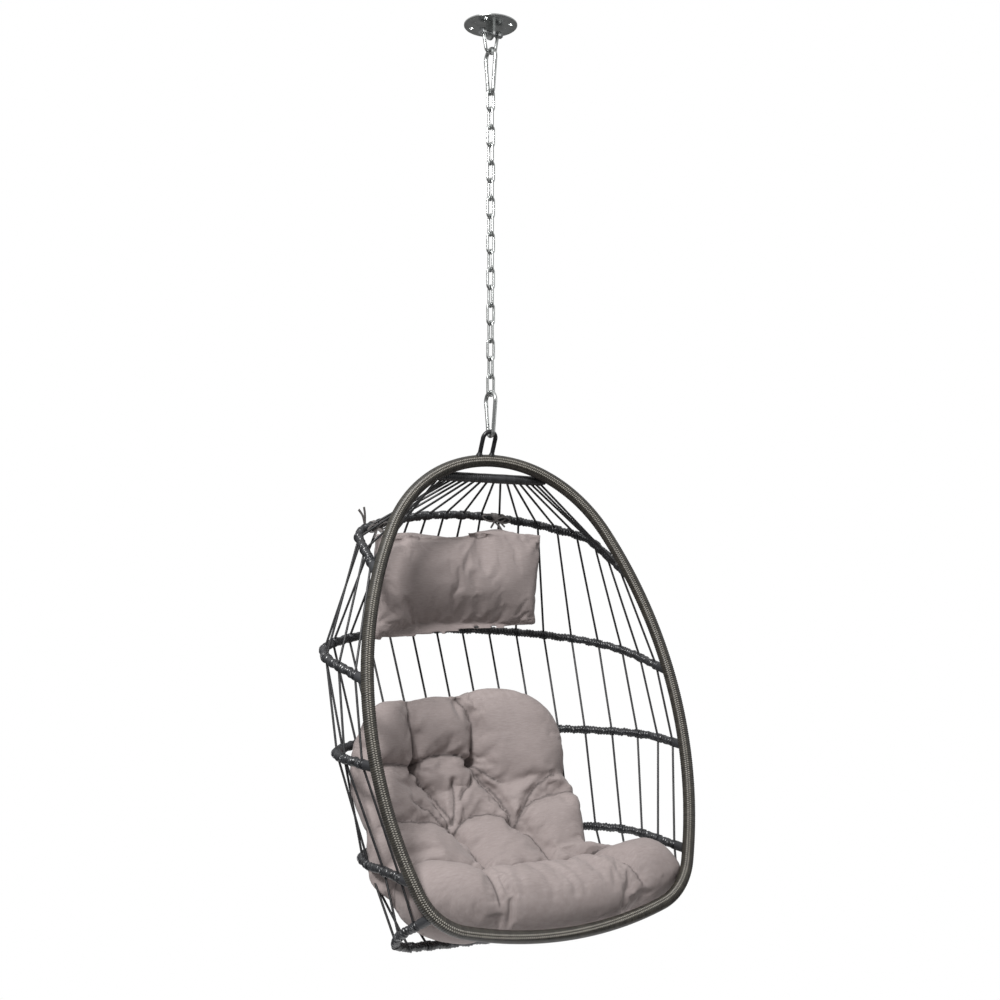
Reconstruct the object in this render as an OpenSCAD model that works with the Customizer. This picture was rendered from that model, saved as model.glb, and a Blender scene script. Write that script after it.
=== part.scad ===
// Hanging egg chair on a ceiling plate, shackle, chain and two spring hooks.
// Millimetres. Origin: centre of the ceiling plate's top face. +Z up, the chair faces -Y.

/* [Ceiling plate] */
// Diameter of the round plate
plate_d = 120; // [105:1:160]
// Thickness of the plate
plate_t = 4; // [3:0.5:6]
// Diameter of the circle that the screw holes lie on
screw_circle_d = 90; // [80:1:92]
// Diameter of each screw hole
screw_hole_d = 9; // [6:0.5:12]
// Thickness of the lug under the plate
lug_t = 6; // [4:0.5:8]
// Width of the lug
lug_w = 30; // [24:1:36]
// Distance from the plate down to the swing bolt
lug_drop = 15; // [13:0.5:24]
// Diameter of the swing bolt
bolt_d = 8; // [6:0.5:10]
// Width across the flats of the bolt head and nut
bolt_flats = 13; // [11:0.5:15]
// Thickness of the bolt head and nut
bolt_head_t = 5.5; // [4:0.5:8]

/* [Shackle] */
// Wire of the shackle
shackle_wire = 7; // [6:0.5:9]
// Distance between the middles of the shackle's two eyes
shackle_span = 38; // [34:1:46]
// Radius of the shackle's bottom bend, to the middle of its wire
shackle_bend_r = 13; // [11:0.5:16]
// Distance from the bolt down to the wire in the bottom bend
shackle_drop = 45; // [40:1:70]
// Diameter of the flattened eyes
shackle_eye_d = 17; // [14:0.5:20]
// Thickness of the flattened eyes
shackle_eye_t = 6; // [5:0.5:8]

/* [Spring hooks] */
// Wire of the hooks
hook_wire = 9; // [7:0.5:10]
// Length of a hook between the middles of its end bends' wires
hook_length = 99; // [90:1:115]
// Radius of the wide upper bend, to the middle of the wire
hook_top_r = 20; // [18:0.5:22]
// Radius of the narrow lower bend, to the middle of the wire
hook_bottom_r = 11; // [10.5:0.5:13]
// Distance along the open side from the lower bend to the gate's rivet
gate_foot = 14; // [12:0.5:18]
// Length of the gate above its rivet
gate_length = 41; // [34:0.5:46]
// Diameter of the gate
gate_d = 8; // [7:0.5:9]
// Diameter of the gate's rivet
rivet_d = 3; // [2:0.5:4]

/* [Chain] */
// Wire of the chain
chain_wire = 6; // [5:0.5:6.5]
// Distance from one link to the next
chain_pitch = 40; // [34:1:46]
// Clear width inside a link
link_gap = 10; // [9:0.5:12]

/* [Rim] */
// Outer diameter of the rim's steel tube
rim_tube_d = 17; // [15:0.5:20]
// Thickness of the wicker wound on the rim
rim_wicker_t = 5.5; // [4:0.25:6]
// Lean of the rim's plane from upright
rim_lean = 17; // [14:0.5:20]
// Radius of the rim's top arch
rim_arch_r = 320; // [300:5:340]
// Radius of the rim's long sides
rim_side_r = 935; // [850:5:1000]
// Radius of the rim's lower corners
rim_corner_r = 135; // [120:5:150]
// Distance of the rim's top behind the hanging line
rim_back = 26.5; // [0:0.5:28]
// Distance of the rim's top to the side of the hanging line
rim_aside = 22.5; // [0:0.5:26]

/* [Hanging loop and crown bar] */
// Rod of the hanging loop
loop_rod = 10; // [9:0.5:12]
// Distance between the middles of the loop's legs
loop_span = 32; // [30:1:40]
// Height of the loop's top rod above the middle of the rim
loop_rise = 62; // [55:1:75]
// Outer diameter of the crown bar's tube
crown_tube_d = 16; // [12:1:18]
// Thickness of the rope wound on the crown bar
crown_wrap_t = 3; // [2:0.5:4]
// Length of the crown bar
crown_length = 300; // [290:5:320]
// Distance of the crown bar below the top of the rim
crown_drop = 33; // [30:1:38]

/* [Ribs] */
// Outer diameter of the ribs' steel tube
rib_tube_d = 15; // [13:0.5:17]
// Thickness of the flat wicker wound on the ribs
rib_wicker_t = 1.5; // [1:0.25:2]
// Length of the black socket on each rib end
rib_socket_length = 24; // [18:1:30]
// Thickness of that socket's wall
rib_socket_t = 3; // [2.5:0.25:4]
// Distance of the first rib's ends down the rim from its top
rib_1_drop = 276; // [265:1:290]
// Distance of the second rib's ends down the rim from its top
rib_2_drop = 504; // [490:1:520]
// Distance of the third rib's ends down the rim from its top
rib_3_drop = 681; // [665:1:695]
// Distance of the fourth rib's ends down the rim from its top
rib_4_drop = 915; // [900:1:920]
// Distance of the seat rib's ends down the rim from its top
rib_5_drop = 982; // [975:1:988]
// Upward tilt of the first rib, from its ends to its back
rib_1_tilt = 34; // [30:1:38]
// Upward tilt of the second rib
rib_2_tilt = 13; // [10:1:16]
// Upward tilt of the third rib
rib_3_tilt = 4; // [1:1:6]
// Upward tilt of the fourth rib
rib_4_tilt = 3; // [0:1:5]
// Upward tilt of the seat rib, which slopes down to its back
rib_5_tilt = -34; // [-36:1:-30]
// Corner radius of the first rib
rib_1_corner_r = 65; // [60:1:80]
// Corner radius of the second rib
rib_2_corner_r = 210; // [200:5:220]
// Corner radius of the third rib
rib_3_corner_r = 150; // [140:5:160]
// Corner radius of the fourth rib
rib_4_corner_r = 135; // [125:5:145]
// Corner radius of the seat rib
rib_5_corner_r = 75; // [70:1:80]

/* [Ropes] */
// Diameter of the rope
rope_d = 5; // [4:0.5:6]
// Number of ropes on each side of the middle one
ropes_each_side = 9; // [7:1:10]
// Distance between ropes on the crown bar
crown_rope_step = 14.5; // [13:0.5:15]
// Diameter of the hitch where a rope crosses a rib
hitch_d = 23; // [21:0.5:26]
// Length of rib that each hitch covers
hitch_length = 14; // [10:0.5:18]

/* [Seat cushion] */
// Thickness of the cushion in its middle
seat_t = 96; // [88:1:97]
// Half of the width of the back and seat
seat_half_w = 270; // [260:1:272]
// Half of the width of the front roll
roll_half_w = 334; // [325:1:335]
// Radius of the front roll
roll_r = 65; // [60:1:66]
// Distance between the two columns of tufts
tuft_gap = 159; // [140:1:180]
// Length of the cushion along its middle
seat_length = 674; // [660:1:676]

/* [Head pillow] */
// Width of the pillow
pillow_w = 446; // [420:1:450]
// Height of the pillow
pillow_h = 222; // [205:1:235]
// Thickness of the pillow
pillow_t = 108; // [90:1:116]

/* [Hidden] */
// Clearance where one hanging piece rides on another
play = 0.3;
// Running clearance of the bolt and rivets, on the radius
run = 0.06;
// Clearance between a rope's end and its hitch
rope_seat = 0.2;
// Bars are butted and welded: each end stands back a little inside the seam's collar
seam_back = 0.3;
seam_length = 1.8;
seam_rise = 0.4;
// Distance that wicker stops short of a seam
wicker_back = 1.1;
LINKS = 17;
$fn = 48;

zinc = [0.72, 0.73, 0.74];
black = [0.05, 0.05, 0.055];
charcoal = [0.17, 0.17, 0.18];
wicker = [0.38, 0.37, 0.34];
taupe = [0.64, 0.60, 0.59];

// Heights of the hanging stack, all at the middle of a wire
function rest_on(lower, upper) = (lower + upper) / 2 + play;
bolt_z = -plate_t - lug_drop;
shackle_z = bolt_z - shackle_drop;
hook_upper_z = shackle_z + rest_on(shackle_wire, hook_wire);
first_link_z = hook_upper_z - hook_length + rest_on(hook_wire, chain_wire);
link_length = chain_pitch + chain_wire + play;
last_link_z = first_link_z - (LINKS - 1) * chain_pitch;
hook_lower_z = last_link_z - link_length + rest_on(chain_wire, hook_wire);
loop_z = hook_lower_z - hook_length + rest_on(hook_wire, loop_rod);
rim_top = [rim_aside, rim_back, loop_z - loop_rise];

// ---- Ceiling fitting ----

module ceiling_plate() {
    edge = 1.5;
    color(zinc)
        difference() {
            rotate_extrude($fn = 96)
                polygon([
                    [0, 0], [plate_d / 2, 0], [plate_d / 2, edge - plate_t],
                    [plate_d / 2 - edge, -plate_t], [0, -plate_t]
                ]);
            for (turn = [45:90:315])
                rotate([0, 0, turn])
                    translate([screw_circle_d / 2, 0, -2 * plate_t])
                        cylinder(d = screw_hole_d, h = 3 * plate_t);
        }
}

module plate_lug() {
    color(zinc)
        difference() {
            union() {
                translate([-lug_t / 2, -lug_w / 2, bolt_z])
                    cube([lug_t, lug_w, lug_drop]);
                translate([-lug_t / 2, 0, bolt_z])
                    rotate([0, 90, 0])
                        cylinder(d = lug_w, h = lug_t);
            }
            translate([-lug_t, 0, bolt_z])
                rotate([0, 90, 0])
                    cylinder(d = bolt_d, h = 2 * lug_t);
        }
}

bolt_half = shackle_span / 2 + shackle_eye_t / 2 + play;

module swing_bolt() {
    color(zinc)
        translate([0, 0, bolt_z])
            rotate([0, 90, 0])
                union() {
                    translate([0, 0, -bolt_half])
                        cylinder(d = bolt_d, h = 2 * bolt_half + bolt_head_t + 3);
                    translate([0, 0, -bolt_half - bolt_head_t])
                        cylinder(d = bolt_flats / cos(30), h = bolt_head_t, $fn = 6);
                }
}

module swing_nut() {
    color(zinc)
        translate([bolt_half, 0, bolt_z])
            rotate([0, 90, 0])
                difference() {
                    cylinder(d = bolt_flats / cos(30), h = bolt_head_t, $fn = 6);
                    translate([0, 0, -1])
                        cylinder(d = bolt_d, h = bolt_head_t + 2);
                }
}

// Turns children so that their +Z points along a line
module along(line) {
    rotate([0, acos(line[2] / norm(line)), atan2(line[1], line[0])])
        children();
}

// A straight round bar from one point to another, shortened at its two ends
module bar(from, to, d, cut_from = 0, cut_to = 0) {
    translate(from)
        along(to - from)
            translate([0, 0, cut_from])
                cylinder(d = d, h = norm(to - from) - cut_from - cut_to);
}

// Part of a ring of round bar in the XY plane, between two angles, its ends cut back
module arc_bar(r, from, to, d, back = seam_back, bore = 0) {
    short = back / r * 180 / PI;
    rotate([0, 0, from + short])
        rotate_extrude(angle = to - from - 2 * short, $fn = 96)
            translate([r, 0])
                difference() {
                    circle(d = d, $fn = 32);
                    if (bore > 0)
                        circle(d = bore, $fn = 32);
                }
}

// A weld seam: a low collar round the joint of two pieces of bar, along +Z
module seam(d) {
    cylinder(d = d + seam_rise, h = seam_length, center = true);
}

module arc_seam(r, at, d) {
    rotate([0, 0, at])
        translate([r, 0, 0])
            rotate([90, 0, 0])
                seam(d);
}

module shackle() {
    // the legs run straight from the eyes to the bottom bend
    drop = shackle_drop - shackle_bend_r;
    half = shackle_span / 2;
    reach = sqrt(half * half + drop * drop);
    leg = atan2(half, drop) - asin(shackle_bend_r / reach);
    touch = [shackle_bend_r * cos(leg), -drop - shackle_bend_r * sin(leg)];
    color(zinc)
        translate([0, 0, bolt_z])
            difference() {
                union() {
                    translate([0, 0, -drop])
                        rotate([90, 0, 0])
                            arc_bar(shackle_bend_r, 180 + leg, 360 - leg, shackle_wire);
                    translate([0, 0, -drop])
                        rotate([90, 0, 0]) {
                            arc_seam(shackle_bend_r, 180 + leg, shackle_wire);
                            arc_seam(shackle_bend_r, 360 - leg, shackle_wire);
                        }
                    for (side = [-1, 1]) {
                        bar([side * half, 0, 0], [side * touch[0], 0, touch[1]], shackle_wire,
                            0, seam_back);
                        translate([side * half - shackle_eye_t / 2, 0, 0])
                            rotate([0, 90, 0])
                                cylinder(d = shackle_eye_d, h = shackle_eye_t);
                    }
                }
                for (side = [-1, 1]) {
                    translate([side * half - shackle_eye_t, 0, 0])
                        rotate([0, 90, 0])
                            cylinder(r = bolt_d / 2 + run, h = 2 * shackle_eye_t);
                    // the eyes' inner and outer faces are flat
                    translate([side * (half + shackle_eye_t / 2 + shackle_eye_d / 2), 0, 0])
                        cube(shackle_eye_d, center = true);
                    translate([side * (half - shackle_eye_t / 2 - 2), 0, 0])
                        cube([4, shackle_eye_d, shackle_eye_d * 0.7], center = true);
                }
            }
}

// ---- Spring hooks ----

hook_centres = hook_length - hook_top_r - hook_bottom_r;
hook_flare = asin((hook_top_r - hook_bottom_r) / hook_centres);
hook_side = sqrt(pow(hook_centres, 2) - pow(hook_top_r - hook_bottom_r, 2));
tang_t = 4;
gate_shoulder = 5;

// The open side's own frame: origin where the side leaves the lower bend, +Z along the side
module open_side() {
    translate([0, hook_bottom_r * cos(hook_flare), hook_bottom_r - hook_length])
        translate([0, 0, -hook_bottom_r * sin(hook_flare)])
            rotate([-hook_flare, 0, 0])
                children();
}

module hook_body(top_z) {
    foot = gate_foot - gate_shoulder;
    nose = gate_foot + gate_length + play;
    color(zinc)
        translate([0, 0, top_z])
            difference() {
                union() {
                    translate([0, 0, -hook_top_r])
                        rotate([90, 0, 90])
                            arc_bar(hook_top_r, -hook_flare, 180 + hook_flare, hook_wire);
                    translate([0, 0, hook_bottom_r - hook_length])
                        rotate([90, 0, 90])
                            arc_bar(hook_bottom_r, 180 + hook_flare, 360 - hook_flare, hook_wire);
                    mirror([0, 1, 0])
                        open_side()
                            translate([0, 0, seam_back])
                                cylinder(d = hook_wire, h = hook_side - 2 * seam_back);
                    for (side = [0, 1])
                        mirror([0, side, 0])
                            open_side() {
                                seam(hook_wire);
                                translate([0, 0, hook_side])
                                    seam(hook_wire);
                            }
                    open_side() {
                        translate([0, 0, seam_back])
                            cylinder(d = hook_wire, h = foot - seam_back);
                        intersection() {
                            union() {
                                translate([-tang_t / 2, -hook_wire / 2, foot])
                                    cube([tang_t, hook_wire, gate_shoulder]);
                                translate([-tang_t / 2, 0, gate_foot])
                                    rotate([0, 90, 0])
                                        cylinder(d = gate_d - 1, h = tang_t);
                            }
                            cylinder(d = hook_wire, h = 2 * gate_foot);
                        }
                        translate([0, 0, nose])
                            cylinder(d = hook_wire, h = hook_side - seam_back - nose);
                    }
                }
                open_side() {
                    translate([-hook_wire, 0, gate_foot])
                        rotate([0, 90, 0])
                            cylinder(d = rivet_d, h = 2 * hook_wire);
                    translate([-1.9, -hook_wire, nose - 1])
                        cube([3.8, hook_wire + 2.2, 6]);
                }
            }
}

module hook_gate(top_z) {
    slot = tang_t + 0.4;
    color(zinc)
        translate([0, 0, top_z])
            open_side()
                difference() {
                    union() {
                        translate([0, 0, gate_foot])
                            cylinder(d = gate_d, h = gate_length);
                        intersection() {
                            translate([0, 0, gate_foot - gate_d / 2])
                                cylinder(d = gate_d, h = gate_d);
                            translate([-gate_d / 2, 0, gate_foot])
                                rotate([0, 90, 0])
                                    cylinder(d = gate_d, h = gate_d);
                        }
                        translate([-1.5, -2.5, gate_foot + gate_length - 1])
                            cube([3, 4, 5]);
                    }
                    translate([-slot / 2, -gate_d, gate_foot - gate_d])
                        cube([slot, 2 * gate_d, 1.5 * gate_d + 0.5]);
                    translate([-gate_d, 0, gate_foot])
                        rotate([0, 90, 0])
                            cylinder(r = rivet_d / 2 + run, h = 2 * gate_d);
                }
}

module gate_rivet(top_z) {
    color(zinc)
        translate([0, 0, top_z])
            open_side()
                translate([-gate_d / 2 - 0.3, 0, gate_foot])
                    rotate([0, 90, 0])
                        cylinder(d = rivet_d, h = gate_d + 0.6);
}

module hook_upper() { hook_body(hook_upper_z); }
module gate_upper() { hook_gate(hook_upper_z); }
module gate_rivet_upper() { gate_rivet(hook_upper_z); }
module hook_lower() { hook_body(hook_lower_z); }
module gate_lower() { hook_gate(hook_lower_z); }
module gate_rivet_lower() { gate_rivet(hook_lower_z); }

// ---- Chain ----

// Odd links stand across the chair, even links along it
module chain_link(number) {
    bend_r = (link_gap + chain_wire) / 2;
    straight = link_length - 2 * bend_r;
    color(zinc)
        translate([0, 0, first_link_z - (number - 1) * chain_pitch])
            rotate([90, 0, number % 2 == 1 ? 0 : 90])
                union() {
                    translate([0, -bend_r, 0])
                        arc_bar(bend_r, 0, 180, chain_wire, 0);
                    translate([0, -bend_r - straight, 0])
                        arc_bar(bend_r, 180, 360, chain_wire, 0);
                    for (side = [-1, 1])
                        translate([side * bend_r, -bend_r, 0])
                            rotate([90, 0, 0])
                                cylinder(d = chain_wire, h = straight, $fn = 32);
                }
}

// ---- Rim ----

rim_d = rim_tube_d + 2 * rim_wicker_t;
arch_turn = 61;
side_turn = 110;
corner_turn = 165;
// The bottom arc's radius closes the outline on the middle line
rim_base_r = (rim_arch_r * sin(arch_turn)
    + rim_side_r * (sin(side_turn) - sin(arch_turn))
    + rim_corner_r * (sin(corner_turn) - sin(side_turn))) / sin(corner_turn);
// Centres of the arcs in the rim's plane: across, then down from the top
arch_c = [0, rim_arch_r];
side_c = arch_c - (rim_side_r - rim_arch_r) * [sin(arch_turn), -cos(arch_turn)];
corner_c = side_c + (rim_side_r - rim_corner_r) * [sin(side_turn), -cos(side_turn)];
base_c = corner_c + (rim_corner_r - rim_base_r) * [sin(corner_turn), -cos(corner_turn)];
rim_length = base_c[1] + rim_base_r;
side_end = side_c[1] - rim_side_r * cos(side_turn);
corner_end = corner_c[1] - rim_corner_r * cos(corner_turn);

// Half width of the rim's middle line at a distance down from its top
function rim_half(down) = down < side_end
    ? side_c[0] + sqrt(pow(rim_side_r, 2) - pow(down - side_c[1], 2))
    : down < corner_end
    ? corner_c[0] + sqrt(pow(rim_corner_r, 2) - pow(down - corner_c[1], 2))
    : sqrt(pow(rim_base_r, 2) - pow(down - base_c[1], 2));

// A point given in the rim's plane: across, down the plane, behind it
function on_rim(across, down, behind = 0) = rim_top + [
    across,
    -down * sin(rim_lean) + behind * cos(rim_lean),
    -down * cos(rim_lean) - behind * sin(rim_lean)
];

// Children are drawn with X across, Y up the rim's plane and Z ahead of it
module in_rim_plane() {
    translate(rim_top)
        rotate([90 - rim_lean, 0, 0])
            children();
}

module both_sides() {
    for (side = [0, 1])
        mirror([side, 0, 0])
            children();
}

// The rim's arcs, drawn flat in its plane
module rim_arch(d, back = seam_back, bore = 0) {
    translate([0, -arch_c[1], 0])
        arc_bar(rim_arch_r, 90 - arch_turn, 90 + arch_turn, d, back, bore);
}

module rim_sides(d, back = seam_back, bore = 0) {
    both_sides()
        translate([side_c[0], -side_c[1], 0])
            arc_bar(rim_side_r, 90 - side_turn, 90 - arch_turn, d, back, bore);
}

module rim_corners(d, back = seam_back, bore = 0) {
    both_sides()
        translate([corner_c[0], -corner_c[1], 0])
            arc_bar(rim_corner_r, 90 - corner_turn, 90 - side_turn, d, back, bore);
}

module rim_base(d, back = seam_back, bore = 0) {
    translate([0, -base_c[1], 0])
        arc_bar(rim_base_r, 90 + corner_turn, 450 - corner_turn, d, back, bore);
}

module rim_ring(d, back = seam_back, bore = 0) {
    rim_arch(d, back, bore);
    rim_sides(d, back, bore);
    rim_corners(d, back, bore);
    rim_base(d, back, bore);
}

module rim_tube() {
    color(black)
        in_rim_plane()
            union() {
                rim_ring(rim_tube_d);
                both_sides() {
                    translate([0, -arch_c[1], 0])
                        arc_seam(rim_arch_r, 90 - arch_turn, rim_tube_d);
                    translate([corner_c[0], -corner_c[1], 0]) {
                        arc_seam(rim_corner_r, 90 - side_turn, rim_tube_d);
                        arc_seam(rim_corner_r, 90 - corner_turn, rim_tube_d);
                    }
                }
            }
}

module rim_wicker() {
    color(wicker)
        in_rim_plane()
            rim_ring(rim_d, wicker_back, rim_tube_d);
}

// The loop leans a little, from the hook on the hanging line back to the rim
module hanging_loop() {
    bend_r = loop_span / 2;
    foot_h = 9;
    reach = sqrt(loop_rise * loop_rise + rim_back * rim_back);
    color(black)
        difference() {
            translate([0, 0, loop_z])
                rotate([atan2(rim_back, loop_rise), 0, 0])
                    union() {
                        translate([0, 0, -bend_r])
                            rotate([90, 0, 0])
                                arc_bar(bend_r, 0, 180, loop_rod);
                        for (side = [-1, 1])
                            translate([side * bend_r, 0, -bend_r]) {
                                seam(loop_rod);
                                translate([0, 0, bend_r - reach])
                                    cylinder(d = loop_rod, h = reach - bend_r - seam_back);
                                // weld at the foot of each leg
                                translate([0, 0, bend_r - reach + rim_d / 2 - foot_h / 2])
                                    cylinder(d1 = loop_rod + 7, d2 = loop_rod, h = foot_h);
                            }
                    }
            in_rim_plane()
                rim_arch(rim_d);
        }
}

crown_d = crown_tube_d + 2 * crown_wrap_t;
// The bar lies against the back of the rim
crown_behind = (rim_d + crown_d) / 2 - 0.5;

module crown_rod(d, length) {
    difference() {
        bar(on_rim(-length / 2, crown_drop, crown_behind),
            on_rim(length / 2, crown_drop, crown_behind), d);
        in_rim_plane()
            rim_arch(rim_d);
    }
}

module crown_bar() {
    color(black)
        crown_rod(crown_tube_d, crown_length);
}

module crown_wrap() {
    color(charcoal)
        difference() {
            crown_rod(crown_d, crown_length - 12);
            bar(on_rim(-crown_length, crown_drop, crown_behind),
                on_rim(crown_length, crown_drop, crown_behind), crown_tube_d);
        }
}

// ---- Ribs ----
// A rib is a bow across its back, a corner each side and two straight arms to the rim.
// Its headings turn from 0 across the back to about 90 along an arm.

rib_d = rib_tube_d + 2 * rib_wicker_t;
rib_drop = [rib_1_drop, rib_2_drop, rib_3_drop, rib_4_drop, rib_5_drop];
rib_tilt = [rib_1_tilt, rib_2_tilt, rib_3_tilt, rib_4_tilt, rib_5_tilt];
rib_corner = [rib_1_corner_r, rib_2_corner_r, rib_3_corner_r, rib_4_corner_r, rib_5_corner_r];
bow_turn = [30, 36, 40, 30, 10];
arm_turn = [84, 94, 98, 93, 115];
rib_arm = [140, 135, 100, 170, 70];

// The bow's radius brings the arm's end onto the rim
function bow_r(k) = (rim_half(rib_drop[k])
    - rib_corner[k] * (sin(arm_turn[k]) - sin(bow_turn[k]))
    - rib_arm[k] * cos(arm_turn[k])) / sin(bow_turn[k]);
function rib_depth(k) = bow_r(k) * (1 - cos(bow_turn[k]))
    + rib_corner[k] * (cos(bow_turn[k]) - cos(arm_turn[k]))
    + rib_arm[k] * sin(arm_turn[k]);
function bow_length(k) = bow_r(k) * bow_turn[k] * PI / 180;
function corner_length(k) = rib_corner[k] * (arm_turn[k] - bow_turn[k]) * PI / 180;
function rib_half_length(k) = bow_length(k) + corner_length(k) + rib_arm[k];
function bow_end(k) = [
    bow_r(k) * sin(bow_turn[k]),
    rib_depth(k) - bow_r(k) * (1 - cos(bow_turn[k]))
];
function corner_centre(k) = bow_end(k) - rib_corner[k] * [sin(bow_turn[k]), cos(bow_turn[k])];
function corner_end(k) = corner_centre(k) + rib_corner[k] * [sin(arm_turn[k]), cos(arm_turn[k])];

// Place in the rib's plane at a length along it from the middle of its back
function along_rib(k, length) =
    length < bow_length(k)
    ? let (turn = length / bow_r(k) * 180 / PI)
        [bow_r(k) * sin(turn), rib_depth(k) - bow_r(k) * (1 - cos(turn))]
    : length < bow_length(k) + corner_length(k)
    ? let (turn = bow_turn[k] + (length - bow_length(k)) / rib_corner[k] * 180 / PI)
        corner_centre(k) + rib_corner[k] * [sin(turn), cos(turn)]
    : corner_end(k) + (length - bow_length(k) - corner_length(k))
        * [cos(arm_turn[k]), -sin(arm_turn[k])];

// The same place in the chair, for a signed length
function rib_point(k, length) = let (p = along_rib(k, abs(length)))
    on_rim(0, rib_drop[k]) + [
        sign(length) * p[0],
        p[1] * cos(rib_tilt[k]),
        p[1] * sin(rib_tilt[k])
    ];

function rib_heading(k, length) =
    length < bow_length(k)
    ? length / bow_r(k) * 180 / PI
    : min(arm_turn[k], bow_turn[k] + (length - bow_length(k)) / rib_corner[k] * 180 / PI);

// The direction in which a rib runs at a signed length
function rib_way(k, length) = let (turn = rib_heading(k, abs(length)))
    [cos(turn), -sign(length) * sin(turn) * cos(rib_tilt[k]),
        -sign(length) * sin(turn) * sin(rib_tilt[k])];

module in_rib_plane(k) {
    translate(on_rim(0, rib_drop[k]))
        rotate([rib_tilt[k], 0, 0])
            children();
}

// The rib's whole shape as round bar, its arms shortened at the rim
module rib_bar(k, d, cut = 0, back = seam_back) {
    in_rib_plane(k) {
        translate([0, rib_depth(k) - bow_r(k), 0])
            arc_bar(bow_r(k), 90 - bow_turn[k], 90 + bow_turn[k], d, back);
        for (side = [0, 1])
            mirror([side, 0, 0]) {
                translate(corner_centre(k))
                    arc_bar(rib_corner[k], 90 - arm_turn[k], 90 - bow_turn[k], d, back);
                translate(corner_end(k))
                    rotate([0, 90, -arm_turn[k]])
                        translate([0, 0, back])
                            cylinder(d = d, h = rib_arm[k] - cut - back);
            }
    }
}

module rib_seams(k) {
    in_rib_plane(k)
        for (side = [0, 1])
            mirror([side, 0, 0])
                translate(corner_centre(k)) {
                    arc_seam(rib_corner[k], 90 - arm_turn[k], rib_tube_d);
                    arc_seam(rib_corner[k], 90 - bow_turn[k], rib_tube_d);
                }
}

// The stretch of rim that the rib's arms end on
module rib_landing(k) {
    in_rim_plane()
        if (rib_drop[k] < side_end - rim_d / 2)
            rim_sides(rim_d);
        else if (rib_drop[k] < corner_end - rim_d / 2)
            rim_corners(rim_d);
        else
            rim_base(rim_d);
}

module rib(k) {
    color(charcoal)
        difference() {
            union() {
                rib_bar(k, rib_tube_d);
                rib_seams(k);
            }
            rib_landing(k);
        }
}

// Ropes cross the rib at even steps, the last one just short of the socket
rib_socket_end = rim_d / 2 + rib_socket_length;
function rope_step(k) = (rib_half_length(k) - rib_socket_end - hitch_d / 2 - 2) / ropes_each_side;
function hitch(k, number) = rib_point(k, number * rope_step(k));
function hitch_way(k, number) = rib_way(k, number * rope_step(k));

module hitch_barrel() {
    rotate_extrude()
        polygon([
            [0, -hitch_length / 2], [hitch_d / 2 - 0.8, -hitch_length / 2],
            [hitch_d / 2, 1 - hitch_length / 2], [hitch_d / 2, hitch_length / 2 - 1],
            [hitch_d / 2 - 0.8, hitch_length / 2], [0, hitch_length / 2]
        ]);
}

module rib_wicker(k) {
    color(charcoal)
        difference() {
            union() {
                rib_bar(k, rib_d, rib_socket_end, wicker_back);
                for (number = [-ropes_each_side:ropes_each_side])
                    translate(hitch(k, number))
                        along(hitch_way(k, number))
                            hitch_barrel();
            }
            rib_bar(k, rib_tube_d);
            rib_seams(k);
        }
}

module rib_sockets() {
    socket_d = rib_tube_d + 2 * rib_socket_t;
    color(black)
        for (k = [0:4])
            difference() {
                in_rib_plane(k)
                    for (side = [0, 1])
                        mirror([side, 0, 0])
                            translate(along_rib(k, rib_half_length(k) - rib_socket_end))
                                rotate([0, 90, -arm_turn[k]])
                                    difference() {
                                        cylinder(d = socket_d, h = rib_socket_end);
                                        translate([0, 0, -1])
                                            cylinder(d = rib_tube_d, h = 2 * rib_socket_end,
                                                $fn = 32);
                                    }
                rib_landing(k);
            }
}

// ---- Ropes ----

function crown_point(number) = on_rim(number * crown_rope_step, crown_drop, crown_behind);
// Length of rope hidden in round stock, for a rope that leaves its middle at a slant
function hidden(line, way, d) = let (
        across = norm(cross(line, way)) / norm(line),
        ahead = sqrt(max(0, 1 - across * across))
    )
    (d / 2 + rope_seat + rope_d / 2 * ahead) / max(0.2, across);
// In a hitch the rope can also leave through the end
function in_hitch(line, way) = let (
        ahead = abs(line * way) / norm(line),
        across = sqrt(max(0, 1 - ahead * ahead)),
        past_end = (hitch_length / 2 + rope_seat + rope_d / 2 * across) / max(0.05, ahead)
    )
    min(hidden(line, way, hitch_d), max(past_end, hidden(line, way, rib_d + 2)));

module ropes_crown() {
    color(charcoal)
        for (number = [-ropes_each_side:ropes_each_side])
            let (line = hitch(0, number) - crown_point(number))
            bar(crown_point(number), hitch(0, number), rope_d,
                hidden(line, [1, 0, 0], crown_d), in_hitch(line, hitch_way(0, number)));
}

module rope_span(upper) {
    color(charcoal)
        for (number = [-ropes_each_side:ropes_each_side])
            let (line = hitch(upper + 1, number) - hitch(upper, number))
            bar(hitch(upper, number), hitch(upper + 1, number), rope_d,
                in_hitch(line, hitch_way(upper, number)),
                in_hitch(line, hitch_way(upper + 1, number)));
}

// ---- Soft pieces ----
// A soft form is a row of closed rings. Each ring has a front and a back, and points stand
// at even tenths of the half width, so that a seam can lie on a row of points.

tenths = 10;
ring_points = 4 * tenths;
function ring_place(j) = j <= 2 * tenths ? (j - tenths) / tenths : (3 * tenths - j) / tenths;
function ring_face(j) = j <= 2 * tenths ? 1 : -1;
// Fullness across the width, 1 in the middle and 0 at the seam; a high power keeps it full
function crown_of(place, power = 4) = sqrt(1 - pow(abs(place), power));

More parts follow.
